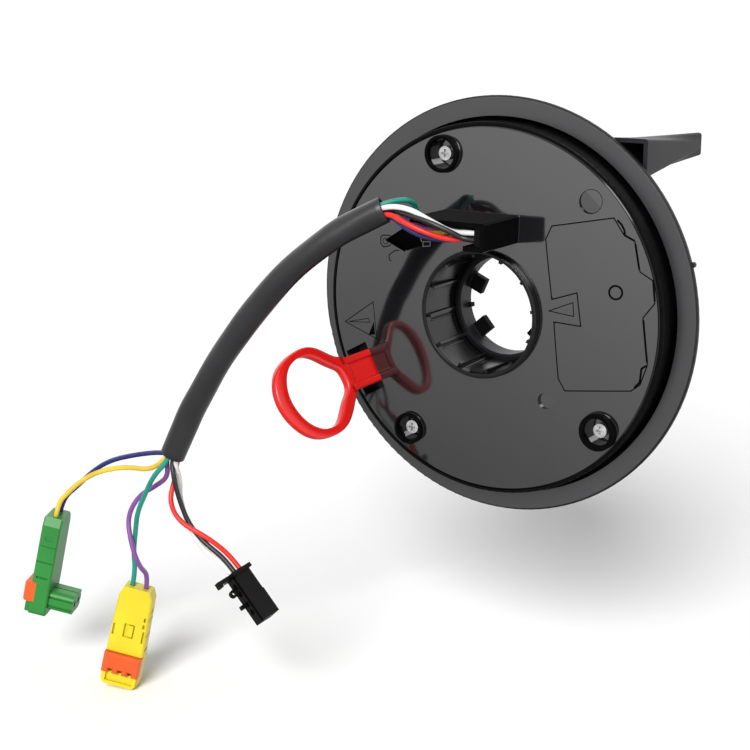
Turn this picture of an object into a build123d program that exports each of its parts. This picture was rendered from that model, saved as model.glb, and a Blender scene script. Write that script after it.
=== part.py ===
"""Steering clock spring: a spiral cable unit between a steering wheel and its column.

Millimetres. The turning axis is Y. The driver's side faces -Y, +Z is up, and the origin is
on the axis, in the rear face of the base plate, which looks at the steering column.
Distances called "out" are measured from that plane towards the driver.
"""
from build123d import *
from math import cos, pi, radians, sin, sqrt, tan
import os

os.makedirs("parts", exist_ok=True)

# Stator housing: flange ring, cup wall and the lip that holds the rotor in
flange_r = 68.0
flange_out = 10.5
flange_t = 2.2
flange_edge_r = 0.7
groove_r = 61.6
cup_wall = 2.0
lip_r = 60.75
lip_t = 0.9
edge_nub_angle = 17.0
edge_nub_r = 0.9

# Stator base: rear cover with the column collar, its snap hooks and the cable drum
base_t = 2.0
collar_bore_r = 16.2
collar_wall = 1.0
collar_out = 6.9
hook_reach_r = 10.9
hook_w = 5.2
hook_from = 0.6
hook_t = 2.4
hook_root = 0.5
hook_angles = (156, 221, 24, -41)
tooth_reach_r = 14.6
tooth_w = 1.4
tooth_angles = (188, 8)
drum_r = 55.6
drum_wall = 1.5
drum_out = 11.2
post_r = 3.6
post_h = 6.0
post_hole_r = 1.1
post_floor_t = 0.8
post_circle_r = 46.0
post_count = 4
post_first_angle = 45.0

# Tapered duct behind the flange: (x low, x high, z low, z high) at its mouth and its tip
duct_mouth = (35.8, 48.7, 44.6, 56.6)
duct_tip = (49.6, 51.8, 48.7, 56.0)
duct_tip_out = -27.0
duct_wall = 1.4
duct_corner_r = 1.0
duct_inner_corner_r = 0.3
duct_floor_out = -12.0

# Column side plug socket on the rear
socket_z = -41.0
socket_w = 26.0
socket_h = 13.0
socket_wall = 1.5
socket_depth = 13.0
block_t = 4.0
pin_w = 0.64
pin_l = 8.0
pin_pitch = 3.4
pin_rows = 2
pin_columns = 6

# Rotor hub: bore tube, bearing and carrier plate
hub_lip_bore_r = 19.3
hub_end_bore_r = 18.6
hub_wall = 1.4
hub_lip_out = 24.7
hub_edge_r = 0.4
bearing_clear = 0.06
axial_play = 0.3
rib_count = 12
rib_first_angle = 8.0
rib_w = 1.0
rib_h = 0.5
rib_lip_inset = 1.5
pad_angle = -92.0
pad_w = 5.0
plate_out = 13.4
plate_t = 1.6
plate_clear = 0.1
boss_seat_h = 1.2

# Rotor cover: dome, rim groove, skirt and retaining bead
cover_t = 1.8
dome_peak_out = 22.32
dome_r = 417.0
face_r = 58.5
rim_groove_w = 0.75
rim_groove_depth = 1.1
rim_drop = 0.5
skirt_r = 60.3
skirt_wall = 1.9
rim_edge_r = 0.45
bead_r = 61.2
bead_h = 1.8
fit_clear = 0.1

# Screw bosses: (x, z, outer radius, bore radius), and their cross-head screws
bosses = ((-16.2, 49.6, 6.0, 4.9), (-27.9, -42.6, 5.3, 4.3), (40.7, -33.4, 6.0, 4.5))
boss_out = 21.3
boss_edge_r = 0.35
screw_seat_depth = 4.8
head_r = 2.25
head_h = 1.8
shank_r = 1.25
hole_clear = 0.05
shank_end_gap = 0.2
cross_w = 0.7
cross_l = 2.6
cross_depth = 1.0

# Wire hood above the bore and the comb inside it
hood_x = (-13.8, 12.4)
hood_z = (23.5, 32.3)
hood_out = 43.4
hood_wall = 1.5
hood_sill_x = 5.0
hood_corner_r = 0.8
comb_w = 2.3
comb_out = (33.6, 42.8)
comb_hole_depth = 1.2
block_clear = 0.05

# Side lid: outline (x, z), its notch on the left and the ledge that it rests on
lid_outline = (
    (23.4, 29.8), (43.1, 33.6), (46.6, 28.7), (50.0, 27.2), (52.2, 18.0), (56.2, 15.7),
    (57.2, 8.8), (53.8, 4.1), (55.7, -10.4), (53.6, -16.8), (50.8, -19.1), (29.4, -21.6),
    (27.2, -17.9), (25.4, 0.1), (34.3, -0.4), (32.7, 9.9), (24.5, 7.1), (21.6, 25.6),
)
lid_t = 1.1
lid_ledge = 2.0
lid_corner_r = 0.8
lid_gap = 0.2

# Small recesses in the face
window_outline = ((-37.7, 20.1), (-32.5, 23.2), (-26.2, 21.3), (-29.4, 17.0))
blind_hole = (22.9, -25.8, 2.7, 1.0)
pin_mark = (35.5, 37.9, 3.6, 0.15)

# Transport lock: a strap that stands in its slot, and the pull loop at its end
lock_angle = -151.7
lock_slot_r = (47.6, 57.2)
lock_slot_w = 16.5
lock_foot_r = 48.3
lock_foot_out = 19.4
lock_lean = 14.5
lock_t = 2.8
lock_depth = 5.0
strap_w = 11.6
strap_l = 15.0
strap_rib_w = 1.3
strap_rib_h = 0.7
loop_centre = (0.8, 27.4)
loop_r = 15.3
loop_band = 3.7
loop_bevel = 0.8

# Wound ribbon cable and its sliding films
cable_coil_r = 33.0
cable_w = 8.6
film_t = 0.3

# Flat squib plugs: outline, nose, lock recess, slots; all measured from the wire end
plug_facing = 26.0
plug_top_w = 9.4
plug_shoulder_w = 11.9
plug_shoulder_l = 3.0
plug_w = 13.2
plug_waist_l = 24.0
plug_l = 37.2
plug_t = 6.7
plug_corner_r = 2.0
plug_edge = 0.5
plug_slope_t = 2.7
plug_slope_l = 4.0
plug_wire_pitch = 4.9
nose_y = 31.0
nose_w = 10.6
nose_h = 7.0
nose_l = 8.8
nose_corner_r = 2.0
nose_groove_w = 0.8
nose_groove_y = 3.2
nose_groove_depth = 0.7
contact_w = 1.9
contact_bore_r = 0.6
contact_pitch = 4.6
contact_l = 6.0
contact_inset = 0.8
lock_y = 28.4
lock_l = 7.4
lock_gap = 0.15
lock_recess = 1.7
lock_proud = 2.3
lock_edge = 0.6
tooth_gap_w = 1.4
tooth_gap_l = 1.5
tooth_gap_pitch = 3.5
rim_y = 26.6
rim_wall = 1.2
rim_h = 1.1
window_y = 15.8
window_w = 3.8
window_l = 5.2
window_tongue_w = 1.7
window_tongue_l = 4.2
slot_depth = 1.1
plug_slots = ((-5.4, 16.2, 0.8, 4.2), (4.9, 10.4, 0.8, 1.6), (4.9, 13.0, 0.9, 1.5), (5.3, 17.0, 0.8, 4.4))
side_slots = ((7.6, 3.3, 1.8, 2.6), (10.6, 3.3, 0.5, 5.8), (16.6, 3.3, 0.5, 5.8), (22.4, 3.3, 0.8, 4.2))
side_slot_depth = 0.7
yellow_at = (-108.0, -68.6, -101.5)
yellow_lean = 13.0
green_at = (-145.3, -71.4, -79.0)
green_lean = 12.5

# Black four-way plug: its ridge starts at the wire end; across and top are its two seen faces' edges
black_at = (-65.8, -68.6, -86.1)
black_across = (0.18, 0.96, 0.20)
black_top = (0.715, -0.268, 0.64)
black_w = 6.1
black_t = 6.6
black_l = 18.6
black_step_y = 9.5
black_step_t = 0.5
black_wire_places = {"red": (4.2, -1.9), "black": (1.7, -1.9), "grey": (1.7, -4.4)}
black_flange_t = 1.4
black_flange_out = 0.9
black_arm_l = 5.0
black_arm_w = 2.4
black_arm_tip = 2.2
black_groove = (1.8, 1.3)
black_windows = (4.2, 7.2, 11.2, 14.2)
black_window_z = 4.2
black_window_l = 1.8
black_window_w = 1.9
black_window_depth = 2.4
black_ring_y = 5.6
black_ring_r = 1.35
black_ring_bore_r = 0.65
black_nub_y = 11.0
black_nub = (1.8, 1.4)
black_cavity_w = 1.7
black_cavity_depth = 3.4
black_cavity_grid = (2.9, 3.2)
retainer_t = 0.9
retainer_w = 3.6
retainer_l = 11.0

# Wires: comb seats as (out, z), and the routes between comb, sleeve and plugs
wire_d = 1.7
wire_pitch = 1.9
wire_hole_clear = 0.15
wire_hole_depth = 2.5
sleeve_d = 8.4
sleeve_bore_d = 6.4
lane_twist = 12.0
lane_lead = 1.5
plug_lead = 5.0
limp_share = 0.45
comb_holes = {
    "teal": (35.0, 29.0),
    "grey": (41.6, 29.0),
    "black": (41.6, 26.8),
    "red": (39.4, 26.8),
    "navy": (37.2, 26.8),
    "yellow": (39.4, 29.0),
    "violet": (37.2, 29.0),
}
lanes = {"teal": 0, "grey": 60, "red": 120, "navy": 180, "yellow": 240, "violet": 300, "black": None}
sleeve_route = (
    (-21.3, -46.5, 34.4),
    (-29.6, -50.3, 30.0),
    (-37.3, -53.8, 24.9),
    (-50.9, -58.4, 13.0),
    (-62.8, -61.4, -1.7),
    (-72.1, -63.4, -14.3),
    (-80.7, -65.7, -29.3),
    (-85.7, -67.2, -39.4),
    (-90.0, -68.6, -49.9),
)
upper_routes = {
    "teal": ((3.0, -35.0, 29.0), (-5.0, -33.4, 28.6), (-12.6, -32.4, 28.0), (-16.9, -33.6, 32.0),
             (-15.2, -39.8, 37.7)),
    "grey": ((5.2, -41.6, 29.0), (1.0, -45.0, 29.6), (-4.4, -45.9, 32.8), (-11.8, -47.3, 35.8)),
    "black": ((4.6, -41.6, 26.8), (0.2, -45.0, 28.2), (-6.0, -46.8, 31.2), (-12.6, -46.9, 33.6)),
    "red": ((4.8, -39.4, 26.8), (0.4, -42.8, 26.4), (-5.8, -47.0, 28.6), (-12.6, -48.6, 31.4)),
    "navy": ((4.4, -37.2, 26.8), (-1.6, -40.0, 25.8), (-8.0, -44.2, 26.6), (-14.0, -46.4, 29.6)),
    "yellow": ((2.6, -39.4, 29.0), (-4.4, -40.2, 28.2), (-10.0, -41.2, 27.6), (-15.4, -43.5, 29.2)),
    "violet": ((2.4, -37.2, 29.0), (-5.0, -36.8, 28.8), (-12.2, -37.5, 28.6), (-17.2, -40.6, 31.8)),
}
lower_routes = {
    "navy": ((-97.8, -64.1, -49.3), (-108.6, -65.5, -51.3), (-120.2, -66.5, -56.0),
             (-128.8, -66.7, -62.3), (-135.4, -66.9, -69.0)),
    "yellow": ((-97.6, -70.1, -55.1), (-110.3, -69.1, -56.7), (-122.8, -69.5, -60.6),
               (-131.0, -70.7, -66.0), (-136.3, -71.7, -71.0)),
    "teal": ((-94.7, -73.1, -56.6), (-99.6, -72.7, -63.7), (-105.9, -71.1, -71.8),
             (-108.9, -68.9, -79.2), (-110.0, -68.1, -88.0)),
    "violet": ((-92.4, -68.3, -57.8), (-98.1, -68.1, -62.1), (-106.4, -68.3, -67.0),
               (-111.7, -69.3, -75.1), (-108.9, -71.1, -83.9), (-105.2, -70.7, -91.6)),
    "red": ((-91.5, -65.9, -58.8), (-91.9, -69.1, -65.9), (-86.0, -71.3, -71.8), (-76.6, -68.0, -76.4)),
    "black": ((-88.2, -70.5, -57.8), (-87.6, -68.9, -66.4), (-84.0, -68.1, -73.6),
              (-77.0, -68.6, -78.6)),
    "grey": ((-85.8, -67.1, -58.0), (-86.6, -65.1, -66.0), (-84.6, -65.2, -75.0), (-78.4, -67.0, -81.4)),
}


def facing(out):
    """Plane across the axis that looks at the driver: local x is X, local y is Z."""
    return Plane.XZ.offset(out)


def dome_out(r):
    """Distance of the cover's outer face from the seat plane at a radius."""
    return dome_peak_out - dome_r + sqrt(dome_r**2 - r**2)


def polar(r, angle):
    return (r * cos(radians(angle)), r * sin(radians(angle)))


def spoke(out, angle):
    """Plane across the axis whose local x points along a radius."""
    x, z = polar(1, angle)
    return Plane(origin=(0, -out, 0), x_dir=(x, 0, z), z_dir=(0, -1, 0))


def finish(builder, name):
    builder.part.label = name
    export_step(builder.part, f"parts/{name}.step")


# Profiles are drawn as (radius, out) and turned about the Y axis.
section = Plane(origin=(0, 0, 0), x_dir=(1, 0, 0), z_dir=(0, 0, -1))

cup_r = groove_r + cup_wall
bead_from = base_t + axial_play
lip_out = bead_from + bead_h + axial_play
flange_back = flange_out - flange_t
screw_seat = boss_out - screw_seat_depth

# Stator housing
with BuildPart() as stator_housing:
    with BuildSketch(section):
        with BuildLine():
            Polyline(
                (groove_r, base_t),
                (groove_r, lip_out),
                (lip_r, lip_out),
                (lip_r, lip_out + lip_t),
                (groove_r, lip_out + lip_t + groove_r - lip_r),
                (groove_r, flange_out),
                (flange_r, flange_out),
                (flange_r, flange_back),
                (cup_r, flange_back),
                (cup_r, base_t),
                close=True,
            )
        make_face()
    revolve(axis=Axis.Y)
    flange_edges = stator_housing.edges().filter_by(GeomType.CIRCLE).sort_by(SortBy.RADIUS)[-2:]
    fillet(flange_edges, flange_edge_r)
    with BuildSketch(facing(flange_back)):
        with PolarLocations(flange_r, 1, start_angle=edge_nub_angle):
            Circle(edge_nub_r)
    extrude(amount=flange_t - flange_edge_r)
finish(stator_housing, "stator_housing")


def corner_rectangle(bounds, inset=0.0):
    """Rounded rectangle given as (x low, x high, z low, z high)."""
    x0, x1, z0, z1 = bounds
    with Locations(((x0 + x1) / 2, (z0 + z1) / 2)):
        RectangleRounded(x1 - x0 - 2 * inset, z1 - z0 - 2 * inset, max(duct_corner_r - inset, duct_inner_corner_r))


# Stator base
root_r = collar_bore_r + hook_root
duct_share = (flange_back - duct_floor_out) / (flange_back - duct_tip_out)
duct_floor = [
    mouth + duct_share * (tip - mouth) for mouth, tip in zip(duct_mouth, duct_tip)
]
with BuildPart() as stator_base:
    with BuildSketch(facing(flange_back)):
        corner_rectangle(duct_mouth)
    with BuildSketch(facing(duct_tip_out)):
        corner_rectangle(duct_tip)
    loft()
    with BuildSketch(facing(base_t)):
        Circle(cup_r + hole_clear)
    extrude(amount=flange_back - base_t, mode=Mode.SUBTRACT)
    with BuildSketch(facing(flange_back)):
        corner_rectangle(duct_mouth, duct_wall)
    with BuildSketch(facing(duct_floor_out)):
        corner_rectangle(duct_floor, duct_wall)
    loft(mode=Mode.SUBTRACT)
    with BuildSketch(section):
        with BuildLine():
            Polyline(
                (collar_bore_r, 0),
                (collar_bore_r, collar_out),
                (collar_bore_r + collar_wall, collar_out),
                (collar_bore_r + collar_wall, base_t),
                (drum_r, base_t),
                (drum_r, drum_out),
                (drum_r + drum_wall, drum_out),
                (drum_r + drum_wall, base_t),
                (cup_r, base_t),
                (cup_r, 0),
                close=True,
            )
        make_face()
    revolve(axis=Axis.Y)
    with BuildSketch(facing(0)):
        with PolarLocations(post_circle_r, post_count, start_angle=post_first_angle):
            Circle(post_r)
    extrude(amount=-post_h)
    with BuildSketch(facing(-post_h)):
        with PolarLocations(post_circle_r, post_count, start_angle=post_first_angle):
            Circle(post_hole_r)
    extrude(amount=post_h + base_t - post_floor_t, mode=Mode.SUBTRACT)
    with BuildSketch(facing(hook_from)):
        for angle in hook_angles:
            with Locations(Location(polar((hook_reach_r + root_r) / 2, angle), angle)):
                Rectangle(root_r - hook_reach_r, hook_w)
        for angle in tooth_angles:
            with Locations(Location(polar((tooth_reach_r + root_r) / 2, angle), angle)):
                Rectangle(root_r - tooth_reach_r, tooth_w)
    extrude(amount=hook_t)
    with BuildSketch(facing(0)):
        with Locations((0, socket_z)):
            Rectangle(socket_w, socket_h)
            Rectangle(socket_w - 2 * socket_wall, socket_h - 2 * socket_wall, mode=Mode.SUBTRACT)
    extrude(amount=-socket_depth)
finish(stator_base, "stator_base")

# Plug socket on the rear: terminal block and pins
with BuildPart() as column_terminal_block:
    with BuildSketch(facing(0)):
        with Locations((0, socket_z)):
            Rectangle(
                socket_w - 2 * socket_wall - 2 * block_clear,
                socket_h - 2 * socket_wall - 2 * block_clear,
            )
            with GridLocations(pin_pitch, pin_pitch, pin_columns, pin_rows):
                Rectangle(pin_w + block_clear, pin_w + block_clear, mode=Mode.SUBTRACT)
    extrude(amount=-block_t)
finish(column_terminal_block, "column_terminal_block")

with BuildPart() as column_pins:
    with BuildSketch(facing(0)):
        with Locations((0, socket_z)):
            with GridLocations(pin_pitch, pin_pitch, pin_columns, pin_rows):
                Rectangle(pin_w, pin_w)
    extrude(amount=-pin_l)
finish(column_pins, "column_pins")

# Rotor hub
hub_r = hub_lip_bore_r + hub_wall
bearing_r = collar_bore_r + collar_wall + bearing_clear
plate_r = skirt_r - skirt_wall - plate_clear
with BuildPart() as rotor_hub:
    with BuildSketch(section):
        with BuildLine():
            Polyline(
                (bearing_r, bead_from),
                (bearing_r, collar_out),
                (hub_end_bore_r, collar_out),
                (hub_lip_bore_r, hub_lip_out),
                (hub_r, hub_lip_out),
                (hub_r, plate_out),
                (plate_r, plate_out),
                (plate_r, plate_out - plate_t),
                (hub_r, plate_out - plate_t),
                (hub_r, bead_from),
                close=True,
            )
        make_face()
    revolve(axis=Axis.Y)
    fillet(rotor_hub.edges().filter_by(GeomType.CIRCLE).group_by(Axis.Y)[0], hub_edge_r)
    with BuildSketch(facing(collar_out)):
        with PolarLocations((hub_end_bore_r + hub_lip_bore_r) / 2, rib_count, start_angle=rib_first_angle):
            Rectangle(hub_lip_bore_r - hub_end_bore_r + 2 * rib_h, rib_w)
        with PolarLocations((hub_end_bore_r + hub_lip_bore_r) / 2, 1, start_angle=pad_angle):
            Rectangle(hub_lip_bore_r - hub_end_bore_r + 2 * rib_h, pad_w)
    extrude(amount=hub_lip_out - rib_lip_inset - collar_out)
    with BuildSketch(facing(plate_out)):
        for x, z, outer, bore in bosses:
            with Locations((x, z)):
                Circle(outer - fit_clear)
        Circle(plate_r, mode=Mode.INTERSECT)
    extrude(amount=boss_seat_h)
    with BuildSketch(facing(plate_out - plate_t)):
        for x, z, outer, bore in bosses:
            with Locations((x, z)):
                Circle(shank_r + hole_clear)
    extrude(amount=plate_t + boss_seat_h, mode=Mode.SUBTRACT)
finish(rotor_hub, "rotor_hub")

# Side lid, and the tools that cut its seat and its opening from the cover
dome_centre = (0, dome_r - dome_peak_out, 0)
prism_out = dome_out(face_r) - 2 * cover_t
with BuildPart() as lid_seat:
    with BuildSketch(facing(prism_out)) as lid_shape:
        with BuildLine():
            Polyline(*lid_outline, close=True)
        make_face()
        fillet(lid_shape.vertices(), lid_corner_r)
    extrude(amount=dome_peak_out - prism_out)
    with Locations(dome_centre):
        Sphere(dome_r - lid_t, mode=Mode.SUBTRACT)

with BuildPart() as lid_opening:
    with BuildSketch(facing(prism_out)):
        add(lid_shape.sketch_local)
        offset(amount=-lid_ledge, kind=Kind.INTERSECTION)
    extrude(amount=dome_peak_out - prism_out)

with BuildPart() as side_lid:
    with BuildSketch(facing(prism_out)):
        add(lid_shape.sketch_local)
        offset(amount=-lid_gap, kind=Kind.INTERSECTION)
    extrude(amount=dome_peak_out - prism_out)
    with Locations(dome_centre):
        Sphere(dome_r, mode=Mode.INTERSECT)
        Sphere(dome_r - lid_t, mode=Mode.SUBTRACT)
finish(side_lid, "side_lid")


def inner_dome_out(r):
    return dome_out(0) - dome_r + sqrt((dome_r - cover_t) ** 2 - r**2)


# Rotor cover
hole_r = hub_r + fit_clear
skirt_bore_r = skirt_r - skirt_wall
mid_r = face_r / 2
groove_floor = dome_out(face_r) - rim_groove_depth
rim_top = dome_out(face_r) - rim_drop
hood_from = inner_dome_out(0)
boss_from = plate_out + boss_seat_h
with BuildPart() as rotor_cover:
    with BuildSketch(section):
        with BuildLine():
            ThreePointArc(
                (hole_r, dome_out(hole_r)), (mid_r, dome_out(mid_r)), (face_r, dome_out(face_r))
            )
            Polyline(
                (face_r, dome_out(face_r)),
                (face_r, groove_floor),
                (face_r + rim_groove_w, groove_floor),
                (face_r + rim_groove_w, rim_top),
                (skirt_r, rim_top),
                (skirt_r, bead_from + bead_h),
                (bead_r, bead_from + bead_h),
                (bead_r, bead_from),
                (skirt_bore_r, bead_from),
                (skirt_bore_r, inner_dome_out(skirt_bore_r)),
            )
            ThreePointArc(
                (skirt_bore_r, inner_dome_out(skirt_bore_r)),
                (mid_r, inner_dome_out(mid_r)),
                (hole_r, inner_dome_out(hole_r)),
            )
            Line((hole_r, inner_dome_out(hole_r)), (hole_r, dome_out(hole_r)))
        make_face()
    revolve(axis=Axis.Y)
    rim_edges = rotor_cover.edges().filter_by(GeomType.CIRCLE)
    rim_edges = rim_edges.filter_by(lambda edge: abs(edge.radius - skirt_r) < fit_clear)
    fillet(rim_edges.sort_by(Axis.Y)[0], rim_edge_r)
    with BuildSketch(facing(boss_from)):
        for x, z, outer, bore in bosses:
            with Locations((x, z)):
                Circle(outer)
    extrude(amount=boss_out - boss_from)
    fillet(rotor_cover.faces().filter_by(Axis.Y).sort_by(Axis.Y)[:3].edges(), boss_edge_r)
    with BuildSketch(facing(screw_seat)):
        for x, z, outer, bore in bosses:
            with Locations((x, z)):
                Circle(bore)
    extrude(amount=boss_out - screw_seat, mode=Mode.SUBTRACT)
    with BuildSketch(facing(boss_from)):
        for x, z, outer, bore in bosses:
            with Locations((x, z)):
                Circle(shank_r + hole_clear)
    extrude(amount=screw_seat - boss_from, mode=Mode.SUBTRACT)
    with BuildSketch(facing(hood_from)) as hood_shape:
        with BuildLine():
            Polyline(
                (hood_x[0], hood_z[1]),
                (hood_x[1], hood_z[1]),
                (hood_x[1], hood_z[0]),
                (hood_sill_x, hood_z[0]),
                (hood_sill_x, hood_z[0] + hood_wall),
                (hood_x[1] - hood_wall, hood_z[0] + hood_wall),
                (hood_x[1] - hood_wall, hood_z[1] - hood_wall),
                (hood_x[0], hood_z[1] - hood_wall),
                close=True,
            )
        make_face()
        fillet(hood_shape.vertices().sort_by(Axis.X)[-2:], hood_corner_r)
    extrude(amount=hood_out - hood_from)
    add(lid_seat.part, mode=Mode.SUBTRACT)
    add(lid_opening.part, mode=Mode.SUBTRACT)
    with BuildSketch(spoke(prism_out, lock_angle)):
        with Locations(((lock_slot_r[0] + lock_slot_r[1]) / 2, 0)):
            Rectangle(lock_slot_r[1] - lock_slot_r[0], lock_slot_w)
    extrude(amount=dome_peak_out - prism_out, mode=Mode.SUBTRACT)
    with BuildSketch(facing(prism_out)):
        with BuildLine():
            Polyline(*window_outline, close=True)
        make_face()
    extrude(amount=dome_peak_out - prism_out, mode=Mode.SUBTRACT)
    for x, z, r, depth in (blind_hole, pin_mark):
        with BuildSketch(facing(dome_out(sqrt(x**2 + z**2)) - depth)):
            with Locations((x, z)):
                Circle(r)
        extrude(amount=cover_t, mode=Mode.SUBTRACT)
finish(rotor_cover, "rotor_cover")

boss_places = [(x, z) for x, z, outer, bore in bosses]
with BuildPart() as cover_screws:
    with BuildSketch(facing(screw_seat)):
        with Locations(*boss_places):
            Circle(head_r)
    extrude(amount=head_h)
    with BuildSketch(facing(plate_out - plate_t + shank_end_gap)):
        with Locations(*boss_places):
            Circle(shank_r)
    extrude(amount=screw_seat - plate_out + plate_t - shank_end_gap)
    with BuildSketch(facing(screw_seat + head_h)):
        with Locations(*boss_places):
            Rectangle(cross_l, cross_w)
            Rectangle(cross_w, cross_l)
    extrude(amount=-cross_depth, mode=Mode.SUBTRACT)
finish(cover_screws, "cover_screws")

# Ribbon cable and sliding films
with BuildPart() as flat_cable:
    with BuildSketch(facing(base_t + 2 * film_t)):
        Circle(cable_coil_r)
        Circle(hub_r + fit_clear, mode=Mode.SUBTRACT)
    extrude(amount=cable_w)
finish(flat_cable, "flat_cable")

with BuildPart() as base_slip_sheet:
    with BuildSketch(facing(base_t)):
        Circle(drum_r - fit_clear)
        Circle(hub_r + fit_clear, mode=Mode.SUBTRACT)
    extrude(amount=film_t)
finish(base_slip_sheet, "base_slip_sheet")

with BuildPart() as rotor_slip_sheet:
    with BuildSketch(facing(plate_out - plate_t)):
        Circle(drum_r - fit_clear)
        Circle(hub_r + fit_clear, mode=Mode.SUBTRACT)
    extrude(amount=-film_t)
finish(rotor_slip_sheet, "rotor_slip_sheet")

# Transport lock: local x across the strap, local y up the strap, local z away from the axis
foot_x, foot_z = polar(lock_foot_r, lock_angle)
away_x, away_z = polar(sin(radians(lock_lean)), lock_angle)
lock_across = Vector(-sin(radians(lock_angle)), 0, cos(radians(lock_angle)))
lock_up = Vector(away_x, -cos(radians(lock_lean)), away_z)
lock_plane = Plane(
    origin=(foot_x, -lock_foot_out, foot_z), x_dir=lock_across, z_dir=lock_across.cross(lock_up)
)
with BuildPart() as transport_lock:
    with BuildSketch(lock_plane):
        with Locations(loop_centre):
            Circle(loop_r)
    extrude(amount=lock_t)
    chamfer(transport_lock.edges().filter_by(GeomType.CIRCLE), loop_bevel)
    with BuildSketch(lock_plane):
        with Locations((0, (strap_l - lock_depth) / 2)):
            Rectangle(strap_w, strap_l + lock_depth)
    extrude(amount=lock_t)
    with BuildSketch(lock_plane):
        with Locations((0, strap_l / 2)):
            with GridLocations(strap_w - strap_rib_w, 1, 2, 1):
                Rectangle(strap_rib_w, strap_l)
    extrude(amount=-strap_rib_h)
    with BuildSketch(lock_plane.offset(-strap_rib_h)):
        with Locations(loop_centre):
            Circle(loop_r - loop_band)
    extrude(amount=lock_t + strap_rib_h, mode=Mode.SUBTRACT)
finish(transport_lock, "transport_lock")

# Comb inside the hood: the wires end in its left face
comb_right = hood_x[1] - hood_wall - block_clear
comb_face = Plane(origin=(comb_right - comb_w, 0, 0), x_dir=(0, 1, 0), z_dir=(-1, 0, 0))
with BuildPart() as wire_comb:
    with BuildSketch(comb_face):
        with Locations((-(comb_out[0] + comb_out[1]) / 2, -(hood_z[0] + hood_z[1]) / 2)):
            Rectangle(comb_out[1] - comb_out[0], hood_z[1] - hood_z[0] - 2 * hood_wall - 2 * block_clear)
    extrude(amount=-comb_w)
    with BuildSketch(comb_face):
        for out, z in comb_holes.values():
            with Locations((-out, -z)):
                Circle(wire_d / 2 + wire_hole_clear)
    extrude(amount=-comb_hole_depth, mode=Mode.SUBTRACT)
finish(wire_comb, "wire_comb")


# Plugs: local x across, local y along the plug towards its wires, local z out of its top
def plug_plane(origin, turn, lean):
    """Plane facing the viewer, turned from -Y towards +X, its y axis leaning towards x."""
    across = Vector(cos(radians(turn)), sin(radians(turn)), 0)
    towards = Vector(sin(radians(turn)), -cos(radians(turn)), 0)
    x_dir = across * cos(radians(lean)) - Vector(0, 0, 1) * sin(radians(lean))
    return Plane(origin=origin, x_dir=x_dir, z_dir=towards)


def end_on(plane, y):
    """Plane across a plug at a local y that looks at the wire end: local y is into the plug's top."""
    return Plane(origin=plane.from_local_coords((0, y, 0)), x_dir=plane.x_dir, z_dir=plane.y_dir)


def side_on(plane, x):
    """Plane along a plug at a local x that looks along its x: local x is the plug's y."""
    return Plane(origin=plane.from_local_coords((x, 0, 0)), x_dir=plane.y_dir, z_dir=plane.x_dir)


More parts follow.
